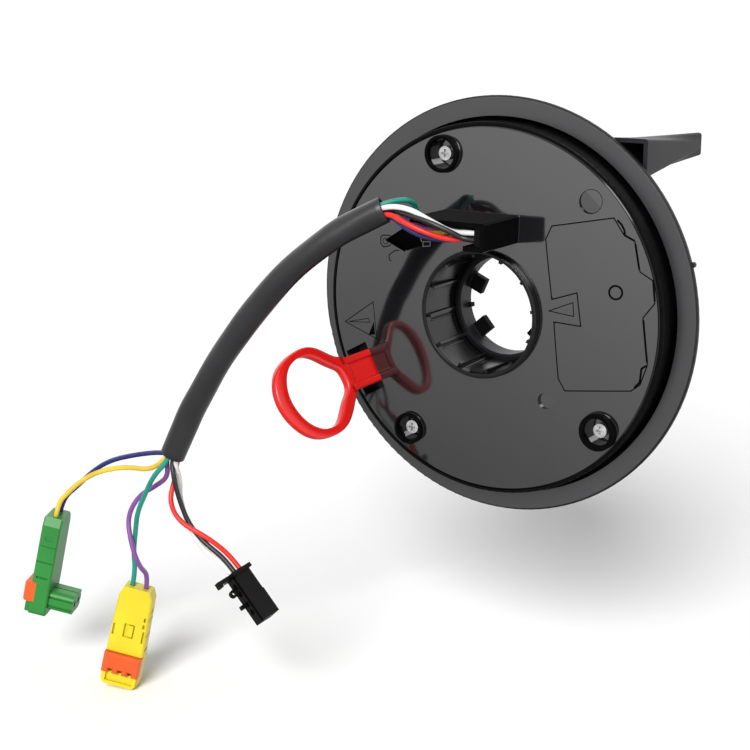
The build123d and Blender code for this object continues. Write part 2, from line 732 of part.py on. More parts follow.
def squib_plug(plane, recess):
    """Flat two-way plug with a nose on its back and a recess for its lock on top."""
    with BuildPart() as plug:
        with BuildSketch(plane) as shape:
            with BuildLine():
                Polyline(
                    (-plug_top_w / 2, 0),
                    (-plug_shoulder_w / 2, -plug_shoulder_l),
                    (-plug_w / 2, -plug_waist_l),
                    (-plug_w / 2, -plug_l),
                    (plug_w / 2, -plug_l),
                    (plug_w / 2, -plug_waist_l),
                    (plug_shoulder_w / 2, -plug_shoulder_l),
                    (plug_top_w / 2, 0),
                    close=True,
                )
            make_face()
            fillet(shape.vertices().sort_by(Axis.Y)[:2], plug_corner_r)
        extrude(amount=-plug_t)
        chamfer(plug.faces().sort_by(lambda face: -abs(face.normal_at().dot(plane.z_dir)))[:2].edges(), plug_edge)
        with BuildSketch(plane) as rim:
            with Locations((0, -(rim_y + plug_l - plug_edge) / 2)):
                Rectangle(plug_w - 2 * plug_edge, plug_l - plug_edge - rim_y)
            fillet(rim.vertices().sort_by(Axis.Y)[:2], plug_corner_r - plug_edge)
            with Locations((0, -(rim_y + plug_l - plug_edge - rim_wall) / 2)):
                Rectangle(
                    plug_w - 2 * plug_edge - 2 * rim_wall,
                    plug_l - plug_edge - rim_wall - rim_y,
                    mode=Mode.SUBTRACT,
                )
        extrude(amount=rim_h)
        with BuildSketch(side_on(plane, -plug_w)):
            with BuildLine():
                Polyline((0, 0), (0, plug_slope_t), (-plug_slope_l, 0), close=True)
            make_face()
        extrude(amount=2 * plug_w, mode=Mode.SUBTRACT)
        with BuildSketch(plane.offset(-recess)):
            with Locations((0, -lock_y)):
                Rectangle(plug_w, lock_l + 2 * lock_gap)
        extrude(amount=recess + rim_h, mode=Mode.SUBTRACT)
        with BuildSketch(plane.offset(-plug_t)):
            with Locations((0, -nose_y)):
                RectangleRounded(nose_w, nose_h, nose_corner_r)
        extrude(amount=-nose_l)
        with BuildSketch(plane.offset(-plug_t - nose_l)):
            with Locations((0, -nose_y)):
                with GridLocations(1, nose_h, 1, 2):
                    Rectangle(nose_groove_w, 2 * nose_groove_depth)
                with GridLocations(nose_w, nose_groove_y, 2, 2):
                    Rectangle(2 * nose_groove_depth, nose_groove_w)
        extrude(amount=nose_l, mode=Mode.SUBTRACT)
        with BuildSketch(plane.offset(-plug_t - nose_l)):
            with Locations((0, -nose_y)):
                with GridLocations(contact_pitch, 1, 2, 1):
                    Rectangle(contact_w + block_clear, contact_w + block_clear)
        extrude(amount=contact_l + contact_inset, mode=Mode.SUBTRACT)
        with BuildSketch(end_on(plane, 0)):
            with Locations((0, plug_t / 2)):
                with GridLocations(plug_wire_pitch, 1, 2, 1):
                    Circle(wire_d / 2 + wire_hole_clear)
        extrude(amount=-wire_hole_depth, mode=Mode.SUBTRACT)
        with BuildSketch(plane.offset(-slot_depth)):
            with Locations((0, -window_y)):
                Rectangle(window_w, window_l)
            with Locations(((window_w - window_tongue_w) / 2 - plug_edge, -window_y)):
                Rectangle(window_tongue_w, window_tongue_l, mode=Mode.SUBTRACT)
            for x, y, w, length in plug_slots:
                with Locations((x, -y)):
                    Rectangle(w, length)
        extrude(amount=slot_depth, mode=Mode.SUBTRACT)
        for x in (-plug_w / 2, plug_w / 2 - side_slot_depth):
            with BuildSketch(side_on(plane, x)):
                for y, z, length, h in side_slots:
                    with Locations((-y, -z)):
                        Rectangle(length, h)
            extrude(amount=side_slot_depth, mode=Mode.SUBTRACT)
    return plug


def squib_lock(plane, recess):
    """Lock piece of a squib plug: a plate with a toothed lower edge."""
    with BuildPart() as piece:
        with BuildSketch(plane.offset(-recess)):
            with Locations((0, -lock_y)):
                Rectangle(plug_w, lock_l)
            with Locations((0, -lock_y - lock_l / 2 + tooth_gap_l / 2)):
                with GridLocations(tooth_gap_pitch, 1, 3, 1):
                    Rectangle(tooth_gap_w, tooth_gap_l, mode=Mode.SUBTRACT)
        extrude(amount=recess + lock_proud)
        tops = piece.faces().sort_by(lambda face: -(face.center() - plane.origin).dot(plane.z_dir))
        chamfer(tops[0].outer_wire().edges(), lock_edge)
    return piece


def squib_contacts(plane):
    """Two contact sleeves in the nose."""
    with BuildPart() as sleeves:
        with BuildSketch(plane.offset(-plug_t - nose_l + contact_inset)):
            with Locations((0, -nose_y)):
                with GridLocations(contact_pitch, 1, 2, 1):
                    Rectangle(contact_w, contact_w)
                    Circle(contact_bore_r, mode=Mode.SUBTRACT)
        extrude(amount=contact_l)
    return sleeves


yellow_plane = plug_plane(yellow_at, plug_facing, yellow_lean)
green_view = plug_plane(green_at, plug_facing, green_lean)
green_plane = Plane(origin=green_at, x_dir=green_view.z_dir, z_dir=-green_view.x_dir)
black_plane = Plane(origin=black_at, x_dir=black_across, z_dir=black_top)

for name, plane in (("yellow", yellow_plane), ("green", green_plane)):
    finish(squib_plug(plane, lock_recess), f"{name}_connector")
    finish(squib_lock(plane, lock_recess), f"{name}_lock")
    finish(squib_contacts(plane), f"{name}_contacts")


# Black plug: body with a stepped top, flange, arm, ring and nub, and a retainer on its back
with BuildPart() as black_connector:
    with BuildSketch(black_plane):
        with Locations((black_w / 2, -black_l / 2)):
            Rectangle(black_w, black_l)
    extrude(amount=-black_t)
    with BuildSketch(black_plane):
        with Locations((black_w / 2, -(black_step_y + black_l) / 2)):
            Rectangle(black_w, black_l - black_step_y)
    extrude(amount=black_step_t)
    with BuildSketch(end_on(black_plane, 0)):
        with Locations((black_w / 2, black_t / 2)):
            Rectangle(black_w + 2 * black_flange_out, black_t + 2 * black_flange_out)
        with Locations((-black_flange_out - black_arm_l / 2, black_t / 2)):
            Rectangle(black_arm_l, black_arm_w)
    extrude(amount=-black_flange_t)
    with BuildSketch(end_on(black_plane, 0)):
        with Locations((black_flange_t / 2 - black_flange_out - black_arm_l, black_t / 2)):
            Rectangle(black_flange_t, black_arm_w)
    extrude(amount=-black_arm_tip)
    with BuildSketch(end_on(black_plane, 0)):
        for x, z in black_wire_places.values():
            with Locations((x, -z)):
                Circle(wire_d / 2 + wire_hole_clear)
    extrude(amount=-wire_hole_depth, mode=Mode.SUBTRACT)
    with BuildSketch(side_on(black_plane, 0)):
        with Locations((-(black_flange_t + black_l) / 2, -black_groove[0])):
            Rectangle(black_l - black_flange_t, black_groove[1])
    extrude(amount=black_groove[1], mode=Mode.SUBTRACT)
    with BuildSketch(side_on(black_plane, 0)):
        for y in black_windows:
            with Locations((-y, -black_window_z)):
                Rectangle(black_window_l, black_window_w)
    extrude(amount=black_window_depth, mode=Mode.SUBTRACT)
    with BuildSketch(black_plane.offset(-black_t)):
        with Locations((-black_ring_r + black_ring_bore_r / 2, -black_ring_y)):
            Circle(black_ring_r)
            Circle(black_ring_bore_r, mode=Mode.SUBTRACT)
        with Locations((-black_nub[0] / 2, -black_nub_y)):
            Rectangle(*black_nub)
    extrude(amount=black_flange_t)
    with BuildSketch(end_on(black_plane, -black_l)):
        with Locations((black_w / 2, black_t / 2)):
            with GridLocations(*black_cavity_grid, 2, 2):
                Rectangle(black_cavity_w, black_cavity_w)
    extrude(amount=black_cavity_depth, mode=Mode.SUBTRACT)
finish(black_connector, "black_connector")

with BuildPart() as black_retainer:
    with BuildSketch(black_plane.offset(-black_t)):
        with Locations((black_w / 2, -black_l / 2)):
            Rectangle(retainer_w, retainer_l)
    extrude(amount=-retainer_t)
finish(black_retainer, "black_retainer")


# Wires and their sleeve
def limp_path(points):
    """Straight runs joined by arcs as large as the two runs beside each allow."""
    points = [Vector(*point) for point in points]
    runs = [b - a for a, b in zip(points, points[1:])]
    radii = []
    for before, after in zip(runs, runs[1:]):
        half_turn = radians(before.get_angle(after)) / 2
        radii.append(limp_share * min(before.length, after.length) / tan(half_turn))
    return points, radii


def lane_points(lane):
    """One wire's way through the sleeve: the sleeve's route set off to the wire's place."""
    centres = [Vector(*point) for point in sleeve_route]
    centres[0] = centres[0] + (centres[0] - centres[1]).normalized() * lane_lead
    centres[-1] = centres[-1] + (centres[-1] - centres[-2]).normalized() * lane_lead
    if lane is None:
        return centres
    placed = []
    for index, centre in enumerate(centres):
        before = centres[max(index - 1, 0)]
        after = centres[min(index + 1, len(centres) - 1)]
        along = (after - before).normalized()
        up = Vector(along.Z, 0, -along.X).normalized()
        angle = radians(lane + index * lane_twist)
        placed.append(centre + up * wire_pitch * cos(angle) - Vector(0, 1, 0) * wire_pitch * sin(angle))
    return placed


def tube(name, points, outer, inner=0.0):
    points, radii = limp_path(points)
    with BuildPart() as piece:
        with BuildLine() as path:
            FilletPolyline(*points, radius=radii)
        start = path.wire() % 0
        with BuildSketch(Plane(origin=path.wire() @ 0, z_dir=start)):
            Circle(outer / 2)
            if inner:
                Circle(inner / 2, mode=Mode.SUBTRACT)
        sweep()
    finish(piece, name)
    share = piece.part.volume / (pi * (outer**2 - inner**2) / 4 * path.wire().length)
    print(name, "length", round(path.wire().length, 1), "volume share", round(share, 4))
    print("  radii", [round(r, 1) for r in radii])


def plug_end(plane, x, z):
    """Bottom of a wire hole and the next point straight out of it."""
    return [plane.from_local_coords((x, y, z)) for y in (plug_lead, -wire_hole_depth)]


wire_ends = {
    "yellow": plug_end(green_plane, plug_wire_pitch / 2, -plug_t / 2),
    "navy": plug_end(green_plane, -plug_wire_pitch / 2, -plug_t / 2),
    "teal": plug_end(yellow_plane, -plug_wire_pitch / 2, -plug_t / 2),
    "violet": plug_end(yellow_plane, plug_wire_pitch / 2, -plug_t / 2),
    **{name: plug_end(black_plane, *place) for name, place in black_wire_places.items()},
}
for name, lane in lanes.items():
    out, z = comb_holes[name]
    start = Vector(comb_right - comb_w + comb_hole_depth, -out, z)
    route = [start, *upper_routes[name], *lane_points(lane), *lower_routes[name], *wire_ends[name]]
    tube(f"wire_{name}", route, wire_d)
tube("harness_sleeve", sleeve_route, sleeve_d, sleeve_bore_d)
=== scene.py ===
"""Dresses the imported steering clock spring: finishes, wires, moulded details and the stage."""
import math

import bpy
import numpy as np
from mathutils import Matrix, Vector


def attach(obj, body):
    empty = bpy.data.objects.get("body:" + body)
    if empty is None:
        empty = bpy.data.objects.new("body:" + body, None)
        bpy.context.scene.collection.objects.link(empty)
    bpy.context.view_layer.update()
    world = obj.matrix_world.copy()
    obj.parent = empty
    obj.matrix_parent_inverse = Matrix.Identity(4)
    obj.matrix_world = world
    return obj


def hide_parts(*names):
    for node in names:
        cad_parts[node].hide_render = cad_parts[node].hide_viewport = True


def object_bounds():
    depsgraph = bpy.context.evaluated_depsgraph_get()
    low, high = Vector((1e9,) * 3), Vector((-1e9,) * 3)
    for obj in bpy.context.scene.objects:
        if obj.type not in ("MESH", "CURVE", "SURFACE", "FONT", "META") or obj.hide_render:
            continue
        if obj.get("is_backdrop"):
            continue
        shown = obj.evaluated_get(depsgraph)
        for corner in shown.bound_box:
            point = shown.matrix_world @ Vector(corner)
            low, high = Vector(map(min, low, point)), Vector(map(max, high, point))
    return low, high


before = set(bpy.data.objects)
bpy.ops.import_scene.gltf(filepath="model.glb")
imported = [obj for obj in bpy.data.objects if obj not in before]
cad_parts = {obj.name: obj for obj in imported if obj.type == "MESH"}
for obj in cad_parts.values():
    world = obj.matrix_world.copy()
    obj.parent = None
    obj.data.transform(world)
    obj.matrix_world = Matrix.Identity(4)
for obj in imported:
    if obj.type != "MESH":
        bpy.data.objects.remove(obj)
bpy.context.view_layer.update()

bl_info = {
    "name": "Steering clock spring",
    "version": (1, 0, 0),
    "blender": (4, 5, 0),
    "location": "3D View > Sidebar > Clock spring",
    "description": "Finishes, wires, moulded details and the stage of a steering clock spring",
    "category": "Object",
}

MM = 0.001

# Sizes and places shared with the solids, in millimetres, with angles in degrees
DOME_PEAK_OUT = 22.32
DOME_R = 417.0
FACE_R = 58.5
FLANGE_EDGE_R = 67.3
HUB_END_R, HUB_LIP_R = 18.6, 19.3
HUB_END_OUT, HUB_LIP_OUT = 6.95, 24.7
WIRE_D = 1.7
SLEEVE_D = 8.4
SLEEVE_BORE_D = 6.4
LANE_LEAD = 1.5
PLUG_LEAD = 5.0
WIRE_HOLE_DEPTH = 2.5
COMB_FACE_X = 9.75
PLUG_T = 6.7
PLUG_WIRE_PITCH = 4.9
PLUG_FACING = 26.0
YELLOW_AT, YELLOW_LEAN = (-108.0, -68.6, -101.5), 13.0
GREEN_AT, GREEN_LEAN = (-145.3, -71.4, -79.0), 12.5
BLACK_AT = (-65.8, -68.6, -86.1)
BLACK_ACROSS = (0.18, 0.96, 0.20)
BLACK_TOP = (0.715, -0.268, 0.64)
BLACK_WIRE_PLACES = {"red": (4.2, -1.9), "black": (1.7, -1.9), "grey": (1.7, -4.4)}

# Comb seats as (out, z), the wires' places round the sleeve, with black in the middle, and routes
COMB_SEATS = {
    "teal": (35.0, 29.0),
    "grey": (41.6, 29.0),
    "black": (41.6, 26.8),
    "red": (39.4, 26.8),
    "navy": (37.2, 26.8),
    "yellow": (39.4, 29.0),
    "violet": (37.2, 29.0),
}
LANES = {"teal": 0, "grey": 60, "red": 120, "navy": 180, "yellow": 240, "violet": 300, "black": None}
SLEEVE_ROUTE = (
    (-21.3, -46.5, 34.4),
    (-29.6, -50.3, 30.0),
    (-37.3, -53.8, 24.9),
    (-50.9, -58.4, 13.0),
    (-62.8, -61.4, -1.7),
    (-72.1, -63.4, -14.3),
    (-80.7, -65.7, -29.3),
    (-85.7, -67.2, -39.4),
    (-90.0, -68.6, -49.9),
)
UPPER_ROUTES = {
    "teal": ((3.0, -35.0, 29.0), (-5.0, -33.4, 28.6), (-12.6, -32.4, 28.0), (-16.9, -33.6, 32.0),
             (-15.2, -39.8, 37.7)),
    "grey": ((5.2, -41.6, 29.0), (1.0, -42.6, 28.7), (-5.2, -44.6, 31.8), (-11.8, -47.3, 35.8)),
    "black": ((4.6, -41.6, 26.8), (1.8, -44.4, 29.0), (-4.8, -46.8, 32.0), (-12.6, -46.9, 33.6)),
    "red": ((4.8, -39.4, 26.8), (0.4, -42.8, 26.4), (-5.8, -47.0, 28.6), (-12.6, -48.6, 31.4)),
    "navy": ((4.4, -37.2, 26.8), (-1.6, -40.0, 25.8), (-8.0, -44.2, 26.6), (-14.0, -46.4, 29.6)),
    "yellow": ((2.6, -39.4, 29.0), (-4.4, -40.2, 28.2), (-10.0, -41.2, 27.6), (-15.4, -43.5, 29.2)),
    "violet": ((2.4, -37.2, 29.0), (-5.0, -36.8, 28.8), (-12.2, -37.5, 28.6), (-17.2, -40.6, 31.8)),
}
LOWER_ROUTES = {
    "navy": ((-97.8, -64.1, -51.2), (-108.6, -65.5, -53.5), (-120.2, -66.5, -57.3),
             (-128.8, -66.7, -63.0), (-135.4, -66.9, -69.2)),
    "yellow": ((-98.4, -70.1, -56.3), (-110.3, -69.1, -57.2), (-122.8, -69.5, -60.8),
               (-131.0, -70.7, -66.0), (-136.3, -71.7, -71.0)),
    "teal": ((-94.7, -73.1, -56.6), (-99.0, -72.7, -63.7), (-104.3, -71.1, -71.8),
             (-107.3, -68.9, -79.2), (-109.4, -68.1, -88.0)),
    "violet": ((-92.4, -68.3, -57.8), (-98.1, -68.1, -62.1), (-106.0, -68.3, -67.0),
               (-110.6, -69.3, -75.1), (-107.6, -71.1, -83.9), (-104.8, -70.7, -91.6)),
    "red": ((-91.5, -65.9, -58.8), (-91.9, -69.1, -65.9), (-86.0, -71.3, -71.8), (-76.6, -68.0, -76.4)),
    "black": ((-88.2, -70.5, -57.8), (-87.0, -68.9, -66.4), (-84.0, -68.1, -73.6),
              (-77.0, -68.6, -78.6)),
    "grey": ((-89.3, -66.0, -58.4), (-90.4, -65.3, -66.2), (-86.6, -65.6, -75.0), (-79.4, -67.2, -81.6)),
}

# Slow waves in the sleeve's radius: height, turn from station to station, and waves round it
SLEEVE_WAVES = ((0.10, 0.19, 2), (0.05, 0.47, -3))

# Transport lock in its own plane, as (across, up) in millimetres
LOCK_FOOT_R, LOCK_FOOT_OUT = 48.3, 19.4
LOCK_ANGLE, LOCK_LEAN = -151.7, 14.5
LOCK_T = 2.8
STRAP_W = 11.6
STRAP_UP = (-5.0, 12.6)
STRAP_HOLLOW_HALF, STRAP_SLOPE_W, STRAP_SWELL = 2.9, 0.9, 0.95
STRAP_ROUND_W, STRAP_ROUND_DEPTH = 0.7, 0.9
FLARE_FROM, FLARE_LENGTH, FLARE_SHARE = 9.0, 3.6, 0.16
LOOP_FORWARD = 0.4
LOOP_ROUNDING = (0.45, 0.5)
LOOP_OUTER = (
    (-6.6, 11.6), (-7.4, 14.2), (-9.8, 17.0), (-12.0, 19.6), (-13.5, 22.6), (-13.9, 26.2),
    (-13.2, 30.8), (-11.7, 35.2), (-9.6, 38.6), (-6.5, 41.0), (-3.0, 42.4), (0.8, 42.8),
    (4.4, 42.3), (8.0, 41.0), (11.6, 38.8), (14.4, 36.0), (16.2, 32.6), (16.9, 28.8),
    (16.9, 25.2), (16.2, 21.8), (14.6, 18.6), (12.0, 15.8), (9.4, 13.6), (7.2, 11.6),
    (2.6, 9.5), (-2.6, 9.5),
)
LOOP_INNER = (
    (-2.6, 14.4), (-4.4, 16.8), (-6.4, 19.3), (-8.8, 21.8), (-10.6, 24.8), (-11.1, 27.6),
    (-10.6, 30.2), (-9.4, 32.9), (-7.3, 35.0), (-4.6, 36.6), (-1.6, 37.5), (1.4, 37.7),
    (4.3, 37.2), (7.2, 36.2), (10.0, 34.5), (12.2, 32.2), (13.6, 29.8), (14.1, 27.0),
    (13.8, 24.4), (12.2, 22.0), (10.0, 20.0), (7.6, 17.9), (5.4, 15.2), (3.8, 14.0),
    (1.8, 13.7), (-0.6, 13.9),
)

# Marks moulded on the face, as (x, z) in millimetres, with rings as (x, z, radius)
LEFT_TRIANGLE = ((-54.5, -9.5), (-42.2, -1.1), (-40.8, -13.6))
LEFT_INNER_EDGE = ((-53.0, -9.3), (-43.7, -8.3), (-44.3, -7.0))
LEFT_SLIVER = ((-44.3, -12.7), (-42.0, -7.8), (-41.5, -12.2))
RIGHT_TRIANGLE = ((23.6, 3.4), (31.5, 6.8), (31.9, 2.5))
LID_RING = (45.0, 11.1, 2.05)
PIN_RING = (35.5, 38.0, 3.65)
# The lid's outline and its stepped edges are drawn as black lines: painted shade in the lid's gap and along
# its steps.
LID_LINE = (
    (23.4, 29.8), (43.1, 33.6), (46.6, 28.7), (50.0, 27.2), (52.2, 18.0), (56.2, 15.7),
    (57.2, 8.8), (53.8, 4.1), (55.7, -10.4), (53.6, -16.8), (50.8, -19.1), (29.4, -21.6),
    (27.2, -17.9), (25.4, 0.1), (34.3, -0.4), (32.7, 9.9), (24.5, 7.1), (21.6, 25.6),
)
LID_STEPS = (
    ((44.0, 33.2), (45.6, 31.8), (46.6, 30.2), (46.9, 28.6), (48.2, 28.0), (50.1, 27.1)),
    ((50.2, 26.6), (52.0, 18.4)),
    ((56.4, 15.2), (57.2, 9.2)),
    ((53.9, 3.8), (55.6, -9.8)),
    ((55.6, -10.4), (53.9, -11.7), (53.5, -16.0), (51.6, -18.2)),
)
# The window's opening is laid as a dark plate: painted shade in the latch window.
WINDOW_OPENING = (
    (-35.4, 21.5), (-30.4, 24.7), (-24.7, 25.4), (-19.4, 22.0), (-22.5, 21.2), (-22.7, 19.8),
    (-28.5, 17.5), (-30.8, 19.3), (-34.4, 19.7),
)
# Ledge and bar of the window, drawn pale: painted highlight.
WINDOW_LEDGE = ((-22.4, 21.0), (-19.6, 21.2), (-19.6, 19.8), (-22.4, 19.4))
WINDOW_BAR = ((-23.9, 24.8), (-22.9, 20.6))
TAB_EDGE = (
    (-35.0, 21.6), (-36.4, 21.8), (-38.6, 21.6), (-39.4, 20.9), (-39.3, 18.9), (-38.2, 17.8),
    (-36.6, 18.1), (-34.9, 18.9),
)
TAB_RING = (-37.4, 19.8, 1.0)
WINDOW_LOWER_EDGE = ((-31.4, 17.3), (-33.3, 17.1), (-35.8, 15.4), (-35.7, 13.8), (-34.5, 13.4))

# Usual width and height of a moulded line, how far marks and strips reach under their surface,
# and the least cosine that a corner's mitre is worked out with
LINE_W, LINE_H = 0.42, 0.08
OPEN_LINE_RISE = 1.3
PATCH_H = 0.03
SINK = 0.1
LEAST_MITRE = 0.35

# The bore's step as (radius, out) corners of a dark ring of painted shade, and the ribs and the dark lines
# of painted shade beside them along the bore: their turns in degrees from a pair's first rib, their sizes,
# and the shares of the bore between which they run
BORE_STEP = ((18.8, 9.3), (18.25, 9.3), (18.25, 7.1), (18.7, 7.1))
BORE_RIB_ANGLES = (128.0, 158.0, 188.0, 218.0, 248.0)
BORE_RIB_TURN, BORE_RIB_W, BORE_RIB_H = 5.2, 0.6, 0.25
BORE_SHADE_TURNS = {"low": -2.1, "high": 3.6}
BORE_SHADE_W, BORE_SHADE_H = 0.36, 0.06
BORE_STRIP_SHARES = (0.02, 0.90)

# Finishes: grain in cells a metre, one black of painted shade for lines that should show no light, and the
# radius in millimetres inside which the base is darkened with painted shade
GRAIN_CELLS = 2600.0
PAINTED_SHADE_BLACK = (0.002, 0.002, 0.002)
BASE_SHADE_R = 15.6

# Stage, in metres and degrees
FLOOR_HALF = 30.0
FLOOR_GAP = 0.0003
REFLECTED_SLOPE = (0.78, 0.0, 1.54)
REFLECTED_FROM, REFLECTED_TO = (-1.66, 0.24), (0.25, 2.15)
LAMP_ANGLE, LAMP_DIRECTION = 26.0, (-0.26, 0.81, -0.526)
SENSOR_W = 0.036
CAMERA_AT, CAMERA_DIRECTION = (0.2405, -0.4567, 0.1029), (-0.5273, 0.8167, -0.2345)
CAMERA_SHIFT = (-0.0005, -0.0142)
CAMERA_CLIP = (0.01, 100.0)


# Sums in materials

class Field:
    """A number that changes over a surface; Python's signs on it add Math nodes."""

    def __init__(self, recipe, socket):
        self.recipe = recipe
        self.socket = socket

    def sum(self, operation, other, swapped=False):
        """A Math node on this number and another one, which comes first where swapped."""
        first, second = (other, self) if swapped else (self, other)
        return self.recipe.node("ShaderNodeMath", {"operation": operation}, {0: first, 1: second})

    def __add__(self, other):
        return self.sum("ADD", other)

    def __sub__(self, other):
        return self.sum("SUBTRACT", other)

    def __rsub__(self, other):
        return self.sum("SUBTRACT", other, swapped=True)

    def __mul__(self, other):
        return self.sum("MULTIPLY", other)

    __radd__ = __add__
    __rmul__ = __mul__

    def ramp(self, low, high):
        """0 below low, 1 above high, and a smooth step between them."""
        return self.recipe.node(
            "ShaderNodeMapRange",
            {"interpolation_type": "SMOOTHSTEP"},
            {"Value": self, "From Min": low, "From Max": high},
        )


class Recipe:
    """The node tree of one material or world; place is its Object or Generated coordinates."""

    def __init__(self, name, kind="materials", coordinates="Object"):
        self.owner = getattr(bpy.data, kind).new(name)
        self.owner.use_nodes = True
        self.tree = self.owner.node_tree
        self.tree.nodes.clear()
        self.place = self.node("ShaderNodeTexCoord", output=coordinates)

    def node(self, kind, settings=None, sockets=None, output=0):
        """Adds a node, gives it its settings, values and links, and returns one of its outputs."""
        made = self.tree.nodes.new(kind)
        for key, value in (settings or {}).items():
            setattr(made, key, value)
        for key, value in (sockets or {}).items():
            if isinstance(value, Field):
                self.tree.links.new(value.socket, made.inputs[key])
            else:
                made.inputs[key].default_value = value
        return None if output is None else Field(self, made.outputs[output])

    def noise(self, scale, detail=3.0, stretch=(1, 1, 1)):
        """Noise over the object's own coordinates; scale is in cells a metre."""
        place = self.node("ShaderNodeMapping", sockets={"Vector": self.place, "Scale": stretch})
        return self.node(
            "ShaderNodeTexNoise",
            sockets={"Vector": place, "Scale": scale, "Detail": detail},
        )

    def blend(self, share, first, second):
        """Colour between two colours."""
        return self.node(
            "ShaderNodeMix", {"data_type": "RGBA"}, {0: share, 6: first, 7: second}, output=2
        )

    def moulding(self, colour, roughness, grain, wave):
        """Colour, roughness and height of moulded plastic, with grain and wave in metres."""
        cloud = self.noise(38.0, 4.0)
        flow = self.noise(160.0, 3.0, (1.0, 0.35, 1.0))
        dust = self.noise(5200.0, 2.0).ramp(0.70, 0.80)
        tinted = self.blend(cloud.ramp(0.3, 0.7), tone(colour, 0.88), tone(colour, 1.10))
        dusty = self.blend(dust * 0.03, tinted, (0.40, 0.40, 0.40, 1.0))
        rough = (cloud - 0.5) * 0.12 + flow * 0.05 + dust * 0.06 + (roughness - 0.025)
        height = self.noise(GRAIN_CELLS, 2.0) * grain + self.noise(55.0, 1.0) * wave
        return dusty, rough, height

    def bump(self, height):
        """Normal of a surface that stands out by a height in metres."""
        return self.node("ShaderNodeBump", sockets={"Height": height, "Distance": 1.0, "Strength": 1.0})

    def shader(self, colour, roughness, specular, **others):
        """A Principled surface."""
        return self.node("ShaderNodeBsdfPrincipled", sockets={
            "Base Color": colour, "Roughness": roughness, "Specular IOR Level": specular, **others,
        })

    def ended(self, shader):
        """The material, once its tree ends in a shader."""
        self.node("ShaderNodeOutputMaterial", sockets={"Surface": shader}, output=None)
        return self.owner


def tone(colour, factor):
    """The colour made darker or lighter, with full alpha."""
    return (*[min(1.0, part * factor) for part in colour], 1.0)


def moulded(name, colour, roughness, grain=0.00002, specular=0.3, wave=0.0):
    """Moulded plastic: fine grain, slow sink marks, cloudy roughness and faint dust."""
    recipe = Recipe(name)
    dusty, rough, height = recipe.moulding(colour, roughness, grain, wave)
    return recipe.ended(recipe.shader(dusty, rough, specular, Normal=recipe.bump(height)))


def with_painted_shade(name, colour, roughness, specular, grain, wave, zones):
    """Moulded plastic with zones of painted shade: darker, duller, mottled copies of its finish. A zone
    begins between low and high, both in
    millimetres: of radius about the shaft's axis for the kinds outside and inside, and of height
    over the face's dome for the kind above. It has its own shade and specular level, and is
    rougher by a given amount."""
    recipe = Recipe(name)
    dusty, rough, height = recipe.moulding(colour, roughness, grain, wave)
    normal = recipe.bump(height)
    cloud = recipe.noise(240.0).ramp(0.3, 0.7)
    x, y, z = [
        recipe.node("ShaderNodeSeparateXYZ", sockets={"Vector": recipe.place}, output=axis) * (1 / MM)
        for axis in range(3)
    ]
    square = x * x + z * z
    finish = recipe.shader(dusty, rough, specular, Normal=normal)
    for zone in zones:
        low, high, shade = zone["low"], zone["high"], zone["shade"]
        if zone["kind"] == "above":
            share = (square * (0.5 / DOME_R) - y - DOME_PEAK_OUT).ramp(low, high)
        else:
            share = square.ramp(low**2, high**2)
        if zone["kind"] == "inside":
            share = 1 - share
        # Each zone's finish is a darker, duller copy of the plastic: painted shade.
        mottled_shade = recipe.blend(cloud, tone(colour, shade * 0.6), tone(colour, shade))
        shaded_finish = recipe.shader(mottled_shade, rough + zone["rougher"], zone["specular"], Normal=normal)
        finish = recipe.node("ShaderNodeMixShader", sockets={0: share, 1: finish, 2: shaded_finish})
    return recipe.ended(finish)


def rubber(name, colour, roughness, streak_scale=700.0, streak_depth=0.00003):
    """Wire insulation or sleeve: drawn streaks along it and scuffs that dull it."""
    recipe = Recipe(name)
    cloud = recipe.noise(95.0, 4.0)
    streaks = recipe.noise(streak_scale, 2.0, (0.35, 1.0, 0.35))
    scuffs = recipe.noise(900.0, 3.0).ramp(0.62, 0.74)
    tinted = recipe.blend(cloud.ramp(0.3, 0.7), tone(colour, 0.85), tone(colour, 1.12))
    worn = recipe.blend(scuffs * 0.12, tinted, tone(colour, 1.9))
    rough = (cloud - 0.5) * 0.16 + scuffs * 0.10 + roughness
    return recipe.ended(recipe.shader(worn, rough, 0.3, Normal=recipe.bump(streaks * streak_depth)))


def metal(name, colour, roughness):
    """Plated metal with fine turning lines and cloudy tarnish."""
    recipe = Recipe(name)
    cloud = recipe.noise(420.0, 4.0)
    lines = recipe.noise(3800.0, 2.0, (1.0, 0.1, 1.0))
    tinted = recipe.blend(cloud.ramp(0.35, 0.75), tone(colour, 0.7), tone(colour, 1.1))
    normal = recipe.bump(lines * 0.00001)
    return recipe.ended(recipe.shader(tinted, cloud * 0.2 + roughness, 0.5, Metallic=1.0, Normal=normal))


# Shapes

def dome(x, z):
    """Distance of the cover's face in front of the origin's plane: a sphere's cap."""
    return DOME_PEAK_OUT - DOME_R + np.sqrt(DOME_R**2 - x**2 - z**2)


def grid_mesh(name, points, closed_u=False, closed_v=False):
    """Mesh of quads over an array of points (rows u, columns v, xyz in millimetres)."""
    rows, columns = points.shape[:2]
    index = np.arange(rows * columns).reshape(rows, columns)
    if closed_u:
        index = np.vstack([index, index[:1]])
    if closed_v:
        index = np.hstack([index, index[:, :1]])
    faces = np.stack([index[:-1, :-1], index[1:, :-1], index[1:, 1:], index[:-1, 1:]], axis=-1)
    mesh = bpy.data.meshes.new(name)
    mesh.from_pydata((points.reshape(-1, 3) * MM).tolist(), [], faces.reshape(-1, 4).tolist())
    mesh.update()
    return mesh


